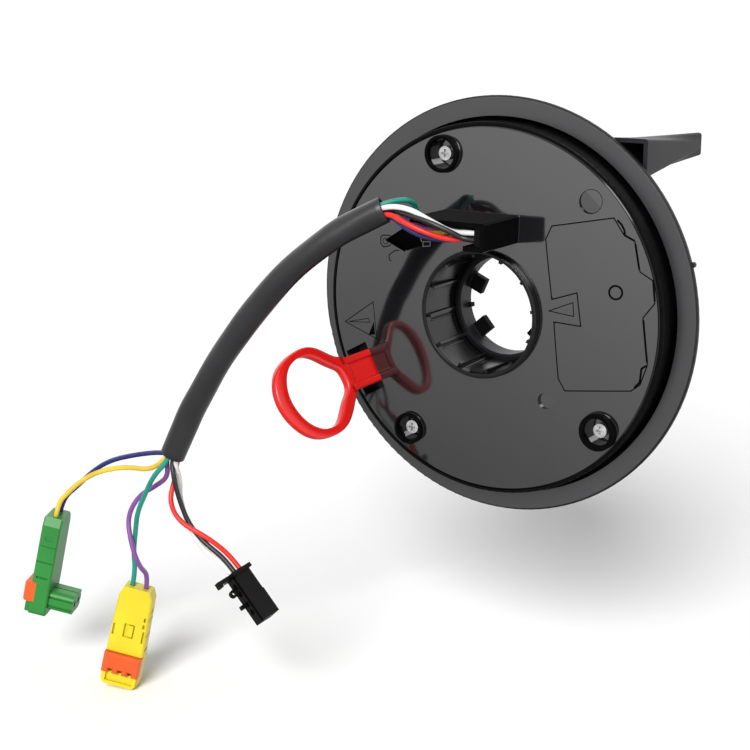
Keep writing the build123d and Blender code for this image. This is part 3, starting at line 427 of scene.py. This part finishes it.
def joined(name, meshes, tube):
    """One mesh from several. It closes both ends of an open tube, given the number of its first
    point, its points round and its points along."""
    points, faces, base = [], [], 0
    for mesh in meshes:
        flat = np.empty(len(mesh.vertices) * 3, dtype=np.float32)
        mesh.vertices.foreach_get("co", flat)
        points.append(flat.reshape(-1, 3))
        faces += [[base + corner for corner in face.vertices] for face in mesh.polygons]
        base += len(mesh.vertices)
        bpy.data.meshes.remove(mesh)
    first, around, along = tube
    last = first + around * (along - 1)
    faces.append(list(reversed(range(first, first + around))))
    faces.append(list(range(last, last + around)))
    made = bpy.data.meshes.new(name)
    made.from_pydata(np.vstack(points).tolist(), [], faces)
    made.update()
    return made


def add_piece(name, mesh, material, body):
    """Puts a mesh at the origin as a smooth piece that rides on a body."""
    piece = bpy.data.objects.new(name, mesh)
    bpy.context.scene.collection.objects.link(piece)
    mesh.materials.append(material)
    mesh.shade_smooth()
    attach(piece, body)
    return piece


def outline_points(corners, spacing, closed=True):
    """Points at even spacing along straight lines between corners."""
    corners = np.array(corners, dtype=float)
    ends = np.vstack([corners, corners[:1]]) if closed else corners
    lengths = np.linalg.norm(np.diff(ends, axis=0), axis=1)
    counts = np.maximum(np.round(lengths / spacing).astype(int), 1)
    parts = [
        start + (end - start) * np.linspace(0, 1, count, endpoint=False)[:, None]
        for start, end, count in zip(ends, ends[1:], counts)
    ]
    return np.vstack(parts if closed else parts + [ends[-1:]])


def ring_points(x, z, r, count):
    """Points round a circle."""
    angle = np.linspace(0, 2 * np.pi, count, endpoint=False)
    return np.stack([x + r * np.cos(angle), z + r * np.sin(angle)], axis=1)


def ridge(name, line, width, height, closed=True):
    """A rounded ridge on the face: a half ellipse carried along a line, square to it, which sinks
    into the face at the ends of an open line."""
    ahead = np.roll(line, -1, axis=0) if closed else np.vstack([line[1:], 2 * line[-1] - line[-2]])
    behind = np.roll(line, 1, axis=0) if closed else np.vstack([2 * line[0] - line[1], line[:-1]])
    first = (line - behind) / np.linalg.norm(line - behind, axis=1)[:, None]
    second = (ahead - line) / np.linalg.norm(ahead - line, axis=1)[:, None]
    along = first + second
    along /= np.linalg.norm(along, axis=1)[:, None]
    mitre = 1 / np.clip(np.sum(along * first, axis=1), LEAST_MITRE, 1)
    across = np.stack([along[:, 1], -along[:, 0]], axis=1) * mitre[:, None]
    angle = np.linspace(0, np.pi, 7)
    place = line[:, None, :] + across[:, None, :] * (np.cos(angle) * width / 2)[None, :, None]
    swell = np.ones(len(line))
    if not closed:
        swell[[0, -1]] = 0.0
    rise = np.sin(angle)[None, :] * swell[:, None] * (height + SINK) - SINK
    out = dome(place[..., 0], place[..., 1]) + rise
    points = np.stack([place[..., 0], -out, place[..., 1]], axis=-1)
    return grid_mesh(name, points, closed_u=closed, closed_v=True)


def patch(name, corners, height):
    """A thin many-sided plate let into the face, whose top stands a little above it."""
    corners = np.array(corners, dtype=float)
    x, z = corners.T
    if np.sum(x * np.roll(z, -1) - np.roll(x, -1) * z) < 0:
        corners = corners[::-1]
    count = len(corners)
    out = dome(corners[:, 0], corners[:, 1])
    top, bottom = [
        np.stack([corners[:, 0], -(out + rise), corners[:, 1]], axis=1) * MM for rise in (height, -SINK)
    ]
    place = np.arange(count)
    after = (place + 1) % count
    sides = np.stack([after, place, place + count, after + count], axis=1)
    faces = [place.tolist(), (place[::-1] + count).tolist(), *sides.tolist()]
    mesh = bpy.data.meshes.new(name)
    mesh.from_pydata(np.vstack([top, bottom]).tolist(), [], faces)
    mesh.update()
    return mesh


def revolved(name, profile):
    """A closed profile of (radius, out) corners turned about the shaft's axis."""
    profile = np.array(profile, dtype=float)
    angle = np.linspace(0, 2 * np.pi, 128, endpoint=False)[:, None]
    radius, out = profile[:, 0][None, :], profile[:, 1][None, :]
    points = np.stack([radius * np.cos(angle), 0 * angle - out, radius * np.sin(angle)], axis=-1)
    return grid_mesh(name, points, closed_u=True, closed_v=True)


def bore_strip(name, angle, width, height):
    """A rounded strip along the hub's bore: a half ellipse in (angle, radius) carried outwards
    along the cone whose radius grows evenly from the hub's end to its lip. Its ends sink in."""
    share = np.linspace(*BORE_STRIP_SHARES, 12)[:, None]
    turn = np.linspace(0, np.pi, 9)[None, :]
    swell = np.ones_like(share)
    swell[[0, -1]] = 0.0
    cone = HUB_END_R + (HUB_LIP_R - HUB_END_R) * share
    radius = cone - np.sin(turn) * swell * (height + SINK) + SINK
    place = math.radians(angle) - np.cos(turn) * width / 2 / radius
    out = HUB_END_OUT + (HUB_LIP_OUT - HUB_END_OUT) * share + 0 * turn
    points = np.stack([radius * np.cos(place), -out, radius * np.sin(place)], axis=-1)
    return grid_mesh(name, points, closed_v=True)


def sleeve_mesh(route):
    """A tube with a wall: a ring profile carried along the route, outside, over the two rounded
    lips and back inside. Slow waves in its radius stand for the folds of the soft sleeve."""
    along = np.gradient(route, axis=0)
    along /= np.linalg.norm(along, axis=1)[:, None]
    side = np.cross(along, np.array([0, 1.0, 0]))
    side /= np.linalg.norm(side, axis=1)[:, None]
    front = np.cross(side, along)
    outer, inner = SLEEVE_D / 2, SLEEVE_BORE_D / 2
    middle, half = (outer + inner) / 2, (outer - inner) / 2
    lip = np.linspace(0, np.pi, 7)[1:-1]
    count = len(route)
    forward, backward = np.arange(count), np.arange(count - 1, -1, -1)
    far_end, near_end = np.full(len(lip), count - 1), np.zeros(len(lip), int)
    station = np.concatenate([forward, far_end, backward, near_end])
    radius = np.concatenate([
        np.full(count, outer), middle + half * np.cos(lip),
        np.full(count, inner), middle - half * np.cos(lip),
    ])
    lip_reach = half * np.sin(lip) * 0.6
    reach = np.concatenate([np.zeros(count), lip_reach, np.zeros(count), -lip_reach])
    angle = np.linspace(0, 2 * np.pi, 48, endpoint=False)
    r = radius[:, None] + sum(
        high * np.sin(station[:, None] * drift + round_it * angle) for high, drift, round_it in SLEEVE_WAVES
    )
    points = (
        route[station][:, None, :]
        + along[station][:, None, :] * reach[:, None, None]
        + side[station][:, None, :] * (r * np.cos(angle))[..., None]
        + front[station][:, None, :] * (r * np.sin(angle))[..., None]
    )
    return grid_mesh("Harness_sleeve", points, closed_u=True, closed_v=True)


def rounded(points, rounds):
    """A closed line whose corners are cut at a quarter of each side, again and again."""
    points = np.array(points, dtype=float)
    for _ in range(rounds):
        ahead = np.roll(points, -1, axis=0)
        cuts = np.stack([0.75 * points + 0.25 * ahead, 0.25 * points + 0.75 * ahead], axis=1)
        points = cuts.reshape(-1, 2)
    return points


def lock_point(across, up, depth):
    """Points of the lock: across the strap, up the strap, and away from the shaft's axis."""
    turn, lean = math.radians(LOCK_ANGLE), math.radians(LOCK_LEAN)
    foot = np.array([LOCK_FOOT_R * math.cos(turn), -LOCK_FOOT_OUT, LOCK_FOOT_R * math.sin(turn)])
    x_dir = np.array([-math.sin(turn), 0, math.cos(turn)])
    y_dir = np.array([math.sin(lean) * math.cos(turn), -math.cos(lean), math.sin(lean) * math.sin(turn)])
    place = across[..., None] * x_dir + up[..., None] * y_dir + depth[..., None] * np.cross(x_dir, y_dir)
    return foot + place


def loop_points():
    """The loop's points: a band between two closed lines, whose section is a rounded oblong, a
    circle with its cosine and sine raised to powers under one."""
    outer, inner = rounded(LOOP_OUTER, 3)[:, None], rounded(LOOP_INNER, 3)[:, None]
    turn = np.linspace(0, 2 * np.pi, 24, endpoint=False)
    across, through = [
        np.sign(wave) * np.abs(wave) ** power
        for wave, power in zip((np.cos(turn), np.sin(turn)), LOOP_ROUNDING)
    ]
    flat = inner + (outer - inner) * (0.5 + 0.5 * across)[None, :, None]
    depth = np.broadcast_to((0.5 - 0.5 * through) * (LOCK_T + LOOP_FORWARD) - LOOP_FORWARD, flat.shape[:2])
    return lock_point(flat[..., 0], flat[..., 1], depth)


def strap_points():
    """The strap's points: a section with two swollen edges and a hollow between them, carried up
    to the loop, where it grows wider."""
    half = STRAP_W / 2
    front_side, back_side = np.linspace(-half, half, 41), np.linspace(half, -half, 9)
    rise = np.clip((np.abs(front_side) - STRAP_HOLLOW_HALF) / STRAP_SLOPE_W, 0, 1)
    swell = rise**2 * (3 - 2 * rise) * STRAP_SWELL
    inset = np.clip((half - np.abs(front_side)) / STRAP_ROUND_W, 0, 1)
    front = STRAP_ROUND_DEPTH * (1 - np.sqrt(1 - (1 - inset) ** 2)) - swell
    side = np.concatenate([front_side, back_side])[None, :]
    depth = np.concatenate([front, np.full(len(back_side), LOCK_T)])[None, :]
    up = np.linspace(*STRAP_UP, 19)[:, None]
    wider = 1 + FLARE_SHARE * np.clip((up - FLARE_FROM) / FLARE_LENGTH, 0, 1) ** 2
    return lock_point(side * wider, up + 0 * side, depth + 0 * up)


def lock_mesh():
    """The pull lock: a closed loop and a strap with closed ends."""
    loop, strap = loop_points(), strap_points()
    meshes = [
        grid_mesh("Lock_loop", loop, closed_u=True, closed_v=True),
        grid_mesh("Lock_strap", strap, closed_v=True),
    ]
    along, around = strap.shape[:2]
    return joined("Pull_lock", meshes, (loop.shape[0] * loop.shape[1], around, along))


# Routes

def plug_axes(turn, lean):
    """Across, along and towards directions of a plug that faces the viewer."""
    turn, lean = math.radians(turn), math.radians(lean)
    across = np.array([math.cos(turn), math.sin(turn), 0.0])
    towards = np.array([math.sin(turn), -math.cos(turn), 0.0])
    x_dir = across * math.cos(lean) - np.array([0, 0, 1.0]) * math.sin(lean)
    return x_dir, np.cross(towards, x_dir), towards


def plug_point(at, axes, x, y, z):
    """Point given in a plug's own directions."""
    return np.array(at) + x * axes[0] + y * axes[1] + z * axes[2]


def green_axes():
    """The green plug stands on edge: its top looks to the left."""
    x_dir, _, towards = plug_axes(PLUG_FACING, GREEN_LEAN)
    return towards, np.cross(-x_dir, towards), -x_dir


def black_axes():
    """The black plug is turned on edge: its two seen faces meet in a ridge."""
    top = np.array(BLACK_TOP) / np.linalg.norm(BLACK_TOP)
    along = np.cross(top, BLACK_ACROSS)
    along /= np.linalg.norm(along)
    return np.cross(along, top), along, top


def wire_ends():
    """The last two route points of each wire: in front of its hole, and the hole's bottom."""
    yellow = (YELLOW_AT, plug_axes(PLUG_FACING, YELLOW_LEAN))
    green = (GREEN_AT, green_axes())
    black = (BLACK_AT, black_axes())
    seats = {
        "yellow": (*green, PLUG_WIRE_PITCH / 2, -PLUG_T / 2),
        "navy": (*green, -PLUG_WIRE_PITCH / 2, -PLUG_T / 2),
        "teal": (*yellow, -PLUG_WIRE_PITCH / 2, -PLUG_T / 2),
        "violet": (*yellow, PLUG_WIRE_PITCH / 2, -PLUG_T / 2),
        **{name: (*black, *place) for name, place in BLACK_WIRE_PLACES.items()},
    }
    return {
        name: [plug_point(at, axes, x, y, z) for y in (PLUG_LEAD, -WIRE_HOLE_DEPTH)]
        for name, (at, axes, x, z) in seats.items()
    }


def lane(place, pitch, twist):
    """One wire's points in the sleeve: the sleeve's points set off at a slowly turning angle, or
    the sleeve's own points for a wire without a place round its middle."""
    centres = np.array(SLEEVE_ROUTE)
    lead = centres[[0, -1]] - centres[[1, -2]]
    centres[[0, -1]] += lead / np.linalg.norm(lead, axis=1)[:, None] * LANE_LEAD
    if place is None:
        return centres
    number = np.arange(len(centres))
    along = centres[np.minimum(number + 1, len(centres) - 1)] - centres[np.maximum(number - 1, 0)]
    along /= np.linalg.norm(along, axis=1)[:, None]
    up = np.stack([along[:, 2], np.zeros(len(along)), -along[:, 0]], axis=1)
    up /= np.linalg.norm(up, axis=1)[:, None]
    angle = np.radians(place + number * twist)[:, None]
    return centres + up * pitch * np.cos(angle) - np.array([0, 1.0, 0]) * pitch * np.sin(angle)


def spline(name, points):
    """A smooth curve of order three whose control points are the route's points."""
    curve = bpy.data.curves.new(name, "CURVE")
    curve.dimensions = "3D"
    line = curve.splines.new("NURBS")
    line.points.add(len(points) - 1)
    flat = np.hstack([np.array(points) * MM, np.ones((len(points), 1))])
    line.points.foreach_set("co", flat.ravel())
    line.order_u = 3
    line.use_endpoint_u = True
    line.resolution_u = 10
    return curve


def followed(curve):
    """Points along a bare curve, in millimetres."""
    holder = bpy.data.objects.new("route", curve)
    mesh = bpy.data.meshes.new_from_object(holder)
    points = np.empty(len(mesh.vertices) * 3)
    mesh.vertices.foreach_get("co", points)
    bpy.data.objects.remove(holder)
    bpy.data.meshes.remove(mesh)
    return points.reshape(-1, 3) / MM


def length_of(points):
    """Length of the straight lines from point to point."""
    return float(np.linalg.norm(np.diff(points, axis=0), axis=1).sum())


# Floor, room and aim

def stage_floor(colour):
    """A flat grid under the lowest point of the object, which reflections leave out."""
    edge = np.linspace(-FLOOR_HALF, FLOOR_HALF, 3) / MM
    across, depth = np.meshgrid(edge, edge, indexing="ij")
    height = (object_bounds()[0].z - FLOOR_GAP) / MM
    points = np.stack([across, depth, np.full_like(across, height)], axis=-1)
    floor = bpy.data.objects.new("Stage_floor", grid_mesh("Stage_floor", points))
    floor.visible_glossy = False
    floor.data.shade_smooth()
    paper = Recipe("Stage_paper")
    rough = paper.noise(900.0) * 0.1 + 0.8
    floor.data.materials.append(paper.ended(paper.shader((*colour, 1.0), rough, 0.0)))
    return floor


def room_world(strength):
    """White for the camera, even for diffuse light, and for reflections a room whose light grows
    from the floor at the left to the lamps above and to the right."""
    room = Recipe("Room", "worlds", "Generated")
    slope = room.node(
        "ShaderNodeVectorMath", {"operation": "DOT_PRODUCT"}, {0: room.place, 1: REFLECTED_SLOPE},
        output="Value",
    )
    mirrored = room.node("ShaderNodeMapRange", sockets={
        "Value": slope, "From Min": REFLECTED_FROM[0], "From Max": REFLECTED_FROM[1],
        "To Min": REFLECTED_TO[0], "To Max": REFLECTED_TO[1],
    })
    is_glossy, is_camera = [
        room.node("ShaderNodeLightPath", output=ray) for ray in ("Is Glossy Ray", "Is Camera Ray")
    ]
    unseen = room.node("ShaderNodeMix", sockets={0: is_glossy, 2: strength, 3: mirrored})
    light = room.node("ShaderNodeMix", sockets={0: is_camera, 2: unseen, 3: 1.0})
    sky = room.node("ShaderNodeBackground", sockets={"Color": (1, 1, 1, 1), "Strength": light})
    room.node("ShaderNodeOutputWorld", sockets={"Surface": sky}, output=None)
    return room.owner


def aimed(name, data, direction, place=(0, 0, 0)):
    """A lamp or camera at a place that looks in a direction, with its top upwards."""
    holder = bpy.data.objects.new(name, data)
    holder.location = place
    holder.rotation_euler = Vector(direction).to_track_quat("-Z", "Y").to_euler()
    return holder


# What a user would change

def colour_setting(name, description, default):
    return bpy.props.FloatVectorProperty(
        name=name, description=description, subtype="COLOR", size=3, min=0, max=1, default=default
    )


def size_setting(name, description, default):
    return bpy.props.FloatProperty(
        name=name, description=description, default=default, min=0, unit="LENGTH", precision=4
    )


def share_setting(name, description, default, most=1.0):
    return bpy.props.FloatProperty(
        name=name, description=description, default=default, min=0, max=most, subtype="FACTOR"
    )


class ClockSpringFinishes(bpy.types.PropertyGroup):
    """Colours and gloss of the mouldings."""

    cover_colour: colour_setting("Cover", "Colour of the turning cover", (0.0055, 0.0054, 0.0062))
    cover_roughness: share_setting("Cover roughness", "Roughness of the glossy cover", 0.07)
    cover_gloss: share_setting("Cover gloss", "Specular level of the glossy cover", 0.9)
    flange_colour: colour_setting("Flange", "Colour of the stator housing", (0.0090, 0.0090, 0.0105))
    flange_roughness: share_setting("Flange roughness", "Roughness of the satin flange", 0.34)
    black_colour: colour_setting("Black parts", "Colour of hub, comb and plug", (0.0050, 0.0050, 0.0055))
    lock_colour: colour_setting("Transport lock", "Colour of the transport lock", (0.54, 0.006, 0.005))
    yellow_colour: colour_setting("Yellow plug", "Colour of the yellow plug", (0.62, 0.50, 0.014))
    green_colour: colour_setting("Green plug", "Colour of the green plug", (0.013, 0.16, 0.022))
    orange_colour: colour_setting("Plug locks", "Colour of the plugs' orange locks", (0.62, 0.075, 0.010))
    film_colour: colour_setting("Films", "Colour of the ribbon cable and its films", (0.72, 0.72, 0.68))


class ClockSpringWires(bpy.types.PropertyGroup):
    """Wires and their sleeve."""

    diameter: size_setting("Wire diameter", "Outside diameter of a wire", WIRE_D * MM)
    pitch: size_setting("Wire pitch", "Distance of the wires from the sleeve's middle", 1.9 * MM)
    twist: bpy.props.FloatProperty(
        name="Twist", description="Turn of the bundle from point to point", subtype="ANGLE",
        default=math.radians(12.0),
    )
    sleeve_colour: colour_setting("Sleeve", "Colour of the sleeve", (0.006, 0.006, 0.007))
    teal: colour_setting("Teal wire", "Colour of the teal wire", (0.006, 0.20, 0.15))
    grey: colour_setting("Grey wire", "Colour of the grey wire", (0.62, 0.62, 0.61))
    black: colour_setting("Black wire", "Colour of the black wire", (0.006, 0.006, 0.007))
    red: colour_setting("Red wire", "Colour of the red wire", (0.58, 0.016, 0.012))
    navy: colour_setting("Navy wire", "Colour of the navy wire", (0.012, 0.016, 0.11))
    yellow: colour_setting("Yellow wire", "Colour of the yellow wire", (0.62, 0.42, 0.03))
    violet: colour_setting("Violet wire", "Colour of the violet wire", (0.17, 0.055, 0.24))


class ClockSpringMarks(bpy.types.PropertyGroup):
    """Fine lines moulded on the face."""

    width: size_setting("Line width", "Width of a moulded line", LINE_W * MM)
    height: size_setting("Line height", "Height of a moulded line", LINE_H * MM)


class ClockSpringStage(bpy.types.PropertyGroup):
    """Floor, light and camera."""

    floor_colour: colour_setting("Floor", "Colour of the floor", (0.95, 0.95, 0.95))
    room_light: share_setting("Room light", "Strength of the even light from all round", 0.47, 2.0)
    key_light: bpy.props.FloatProperty(
        name="Key light", description="Strength of the large soft lamp", default=3.8, min=0
    )
    lens: bpy.props.FloatProperty(
        name="Lens", description="Focal length on a 36 mm sensor", default=76.3, min=1, unit="CAMERA"
    )


# Operators

class CLOCKSPRING_OT_finish_mouldings(bpy.types.Operator):
    """Give every moulded, metal and film part its finish"""

    bl_idname = "clockspring.finish_mouldings"
    bl_label = "Finish the mouldings"

    def execute(self, context):
        look = context.scene.clockspring_finishes
        black = look.black_colour
        gloss = look.cover_gloss
        finishes = {
            "rotor_cover": with_painted_shade(
                "Cover_gloss", look.cover_colour, look.cover_roughness, gloss, 0.000002, 0.00006,
                [
                    # Painted shade: the rim outside the face and the hood above the dome are darker, duller
                    # copies of the gloss.
                    dict(kind="outside", low=FACE_R, high=FACE_R + 0.4, shade=0.4, rougher=0.26,
                         specular=0.04),
                    dict(kind="above", low=0.15, high=0.35, shade=0.3, rougher=0.3, specular=0.02),
                ],
            ),
            "side_lid": moulded("Lid_gloss", look.cover_colour, look.cover_roughness + 0.02,
                                grain=0.000004, wave=0.00005, specular=gloss),
            # The flange's rounded outer edge is a darker, duller copy: painted shade that dulls its
            # highlight.
            "stator_housing": with_painted_shade(
                "Flange_satin", look.flange_colour, look.flange_roughness, gloss * 0.8, 0.000010, 0.00004,
                [dict(kind="outside", low=FLANGE_EDGE_R, high=FLANGE_EDGE_R + 0.3, shade=0.8, rougher=0.2,
                      specular=0.15)],
            ),
            "rotor_hub": moulded("Hub_satin", black, 0.26, grain=0.000005, wave=0.00003, specular=0.15),
            # Inside the collar's bore the base is darker and duller: painted shade in the recess.
            "stator_base": with_painted_shade(
                "Base_matt", look.flange_colour, 0.48, 0.12, 0.00002, 0.0,
                [dict(kind="inside", low=BASE_SHADE_R, high=BASE_SHADE_R + 0.3, shade=0.35, rougher=0.1,
                      specular=0.03)],
            ),
            # The comb is darker and duller than the other black parts: painted shade in the recess where
            # the wires end.
            "wire_comb": moulded("Comb_black", tone(black, 0.3)[:3], 0.6, specular=0.05),
            "column_terminal_block": moulded("Block_black", black, 0.40),
            "yellow_connector": moulded("Plug_yellow", look.yellow_colour, 0.42, grain=0.000014),
            "green_connector": moulded("Plug_green", look.green_colour, 0.42, grain=0.000014),
            "yellow_lock": moulded("Plug_orange", look.orange_colour, 0.40, grain=0.000014),
            "black_connector": moulded("Plug_black", tone(black, 0.5)[:3], 0.40, grain=0.000012,
                                       specular=0.12),
            "flat_cable": moulded("Film_ribbon", look.film_colour, 0.34, grain=0.000004),
            "cover_screws": metal("Screw_steel", (0.50, 0.50, 0.50), 0.30),
            "yellow_contacts": metal("Contact_brass", (0.75, 0.58, 0.28), 0.25),
        }
        shared = {
            "green_lock": "yellow_lock",
            "black_retainer": "black_connector",
            "base_slip_sheet": "flat_cable",
            "rotor_slip_sheet": "flat_cable",
            "green_contacts": "yellow_contacts",
            "column_pins": "yellow_contacts",
        }
        finishes.update({node: finishes[like] for node, like in shared.items()})
        for node, material in finishes.items():
            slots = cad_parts[node].data.materials
            slots.clear()
            slots.append(material)
        return {"FINISHED"}


class CLOCKSPRING_OT_lay_wires(bpy.types.Operator):
    """Lay the wires and their sleeve from the comb to the plugs"""

    bl_idname = "clockspring.lay_wires"
    bl_label = "Lay the wires"

    def execute(self, context):
        look = context.scene.clockspring_wires
        ends = wire_ends()
        for name, place in LANES.items():
            out, z = COMB_SEATS[name]
            start = np.array([COMB_FACE_X, -out, z])
            middle = lane(place, look.pitch / MM, math.degrees(look.twist))
            route = np.vstack([start, UPPER_ROUTES[name], middle, LOWER_ROUTES[name], ends[name]])
            curve = spline(f"Wire_{name}", route)
            length = length_of(followed(curve))
            curve.bevel_depth = look.diameter / 2
            curve.bevel_resolution = 5
            curve.use_fill_caps = True
            curve.materials.append(rubber(f"Wire_{name}", getattr(look, name), 0.36))
            wire = bpy.data.objects.new(f"Wire_{name}_run", curve)
            context.scene.collection.objects.link(wire)
            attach(wire, "rotor")
            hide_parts(f"wire_{name}")
        route = followed(spline("Sleeve_route", SLEEVE_ROUTE))
        sleeve = add_piece(
            "Harness_sleeve", sleeve_mesh(route),
            rubber("Sleeve", look.sleeve_colour, 0.34, streak_scale=420.0, streak_depth=0.00010),
            "rotor",
        )
        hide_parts("harness_sleeve")
        length_of(route) * MM
        return {"FINISHED"}


class CLOCKSPRING_OT_mould_lock(bpy.types.Operator):
    """Mould the red pull lock with its swollen strap and heart-shaped loop"""

    bl_idname = "clockspring.mould_lock"
    bl_label = "Mould the pull lock"

    def execute(self, context):
        look = context.scene.clockspring_finishes
        red = moulded("Pull_lock_red", look.lock_colour, 0.24, grain=0.000004, wave=0.00006, specular=0.4)
        lock = add_piece("Pull_lock", lock_mesh(), red, "transport_lock")
        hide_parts("transport_lock")
        return {"FINISHED"}


class CLOCKSPRING_OT_mould_marks(bpy.types.Operator):
    """Raise the arrow marks and rings on the face in black as painted shade, their window ledge and bar
    pale as painted highlight, and lay dark plates of painted shade in the window and the sliver
    """

    bl_idname = "clockspring.mould_marks"
    bl_label = "Mould the marks"

    def execute(self, context):
        look = context.scene.clockspring_marks
        width, height = look.width / MM, look.height / MM
        # Marks in black are painted shade along the moulded lines and edges.
        painted_shade = moulded("Mark_line", PAINTED_SHADE_BLACK, 0.5, specular=0.0)
        # Pale marks are painted highlight on the window's ledge and bar.
        painted_highlight = moulded("Mark_edge", (0.012, 0.012, 0.013), 0.30, specular=0.9)
        closed = {
            "Mark_left_triangle": (outline_points(LEFT_TRIANGLE, 0.5), 0.34, painted_shade),
            "Mark_left_inner": (outline_points(LEFT_INNER_EDGE, 0.5), 0.26, painted_shade),
            "Mark_right_triangle": (outline_points(RIGHT_TRIANGLE, 0.4), 0.34, painted_shade),
            "Mark_lid_ring": (ring_points(*LID_RING, 48), 0.75, painted_shade),
            "Mark_pin_ring": (ring_points(*PIN_RING, 64), 0.22, painted_shade),
            "Mark_lid_line": (outline_points(LID_LINE, 0.8), 0.46, painted_shade),
            "Mark_tab_ring": (ring_points(*TAB_RING, 32), 0.30, painted_shade),
            "Mark_window_ledge": (outline_points(WINDOW_LEDGE, 0.4), 0.40, painted_highlight),
        }
        opened = {
            "Mark_tab_edge": (TAB_EDGE, 0.40, painted_shade),
            "Mark_window_lower": (WINDOW_LOWER_EDGE, 0.36, painted_shade),
            "Mark_window_bar": (WINDOW_BAR, 0.55, painted_highlight),
            **{f"Mark_lid_step_{number}": (step, 0.75, painted_shade) for number, step in enumerate(LID_STEPS)},
        }
        for name, (line, thick, material) in closed.items():
            mesh = ridge(name, line, thick * width / LINE_W, height)
            add_piece(name, mesh, material, "rotor")
        for name, (corners, thick, material) in opened.items():
            line = outline_points(corners, 0.4, closed=False)
            mesh = ridge(name, line, thick * width / LINE_W, height * OPEN_LINE_RISE, closed=False)
            add_piece(name, mesh, material, "rotor")
        # Dark plates: painted shade in the latch window and in the left triangle's sliver.
        for name, corners in (("Window_opening", WINDOW_OPENING), ("Left_sliver", LEFT_SLIVER)):
            add_piece(name, patch(name, corners, PATCH_H), painted_shade, "rotor")
        return {"FINISHED"}


class CLOCKSPRING_OT_line_bore(bpy.types.Operator):
    """Line the hub's bore with a dark ring of painted shade at its step, dark lines of painted shade beside
    the ribs, and the second rib of each pair
    """

    bl_idname = "clockspring.line_bore"
    bl_label = "Line the bore"

    def execute(self, context):
        painted_shade = moulded("Bore_shadow", PAINTED_SHADE_BLACK, 0.6, specular=0.02)
        rib = moulded("Bore_rib", (0.006, 0.006, 0.007), 0.3, specular=0.35)
        add_piece("Bore_step", revolved("Bore_step", BORE_STEP), painted_shade, "rotor")
        for number, angle in enumerate(BORE_RIB_ANGLES):
            for side, shift in BORE_SHADE_TURNS.items():
                name = f"Bore_line_{number}_{side}"
                mesh = bore_strip(name, angle + shift, BORE_SHADE_W, BORE_SHADE_H)
                add_piece(name, mesh, painted_shade, "rotor")
            name = f"Bore_rib_{number}"
            mesh = bore_strip(name, angle + BORE_RIB_TURN, BORE_RIB_W, BORE_RIB_H)
            add_piece(name, mesh, rib, "rotor")
        return {"FINISHED"}


class CLOCKSPRING_OT_build_stage(bpy.types.Operator):
    """Set the floor, the soft light and the camera"""

    bl_idname = "clockspring.build_stage"
    bl_label = "Build the stage"

    def execute(self, context):
        look = context.scene.clockspring_stage
        floor = stage_floor(look.floor_colour)
        lamp = bpy.data.lights.new("Key", "SUN")
        lamp.energy = look.key_light
        lamp.angle = math.radians(LAMP_ANGLE)
        view = bpy.data.cameras.new("Camera")
        view.sensor_width = SENSOR_W / MM
        view.lens = look.lens
        view.shift_x, view.shift_y = CAMERA_SHIFT
        view.clip_start, view.clip_end = CAMERA_CLIP
        key = aimed("Key", lamp, LAMP_DIRECTION)
        camera = aimed("Camera", view, CAMERA_DIRECTION, CAMERA_AT)
        for made in (floor, key, camera):
            context.scene.collection.objects.link(made)
        floor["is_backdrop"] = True
        context.scene.world = room_world(look.room_light)
        context.scene.camera = camera
        context.scene.view_settings.view_transform = "Standard"
        return {"FINISHED"}


class CLOCKSPRING_PT_panel(bpy.types.Panel):
    """Lists the steps and settings of the clock spring"""

    bl_idname = "CLOCKSPRING_PT_panel"
    bl_label = "Clock spring"
    bl_space_type = "VIEW_3D"
    bl_region_type = "UI"
    bl_category = "Clock spring"

    def draw(self, context):
        for step in STEPS:
            self.layout.operator(step.bl_idname)
        for name, group in GROUPS.items():
            settings = getattr(context.scene, name)
            for key in group.__annotations__:
                self.layout.prop(settings, key)


GROUPS = {
    "clockspring_finishes": ClockSpringFinishes,
    "clockspring_wires": ClockSpringWires,
    "clockspring_marks": ClockSpringMarks,
    "clockspring_stage": ClockSpringStage,
}
STEPS = (
    CLOCKSPRING_OT_finish_mouldings,
    CLOCKSPRING_OT_lay_wires,
    CLOCKSPRING_OT_mould_lock,
    CLOCKSPRING_OT_mould_marks,
    CLOCKSPRING_OT_line_bore,
    CLOCKSPRING_OT_build_stage,
)


def register():
    for name, group in GROUPS.items():
        bpy.utils.register_class(group)
        setattr(bpy.types.Scene, name, bpy.props.PointerProperty(type=group))
    for step in STEPS:
        bpy.utils.register_class(step)
    bpy.utils.register_class(CLOCKSPRING_PT_panel)


def unregister():
    bpy.utils.unregister_class(CLOCKSPRING_PT_panel)
    for step in reversed(STEPS):
        bpy.utils.unregister_class(step)
    for name, group in GROUPS.items():
        delattr(bpy.types.Scene, name)
        bpy.utils.unregister_class(group)


def main():
    register()
    for step in STEPS:
        section, action = step.bl_idname.split(".")
        getattr(getattr(bpy.ops, section), action)()


if __name__ == "__main__":
    main()
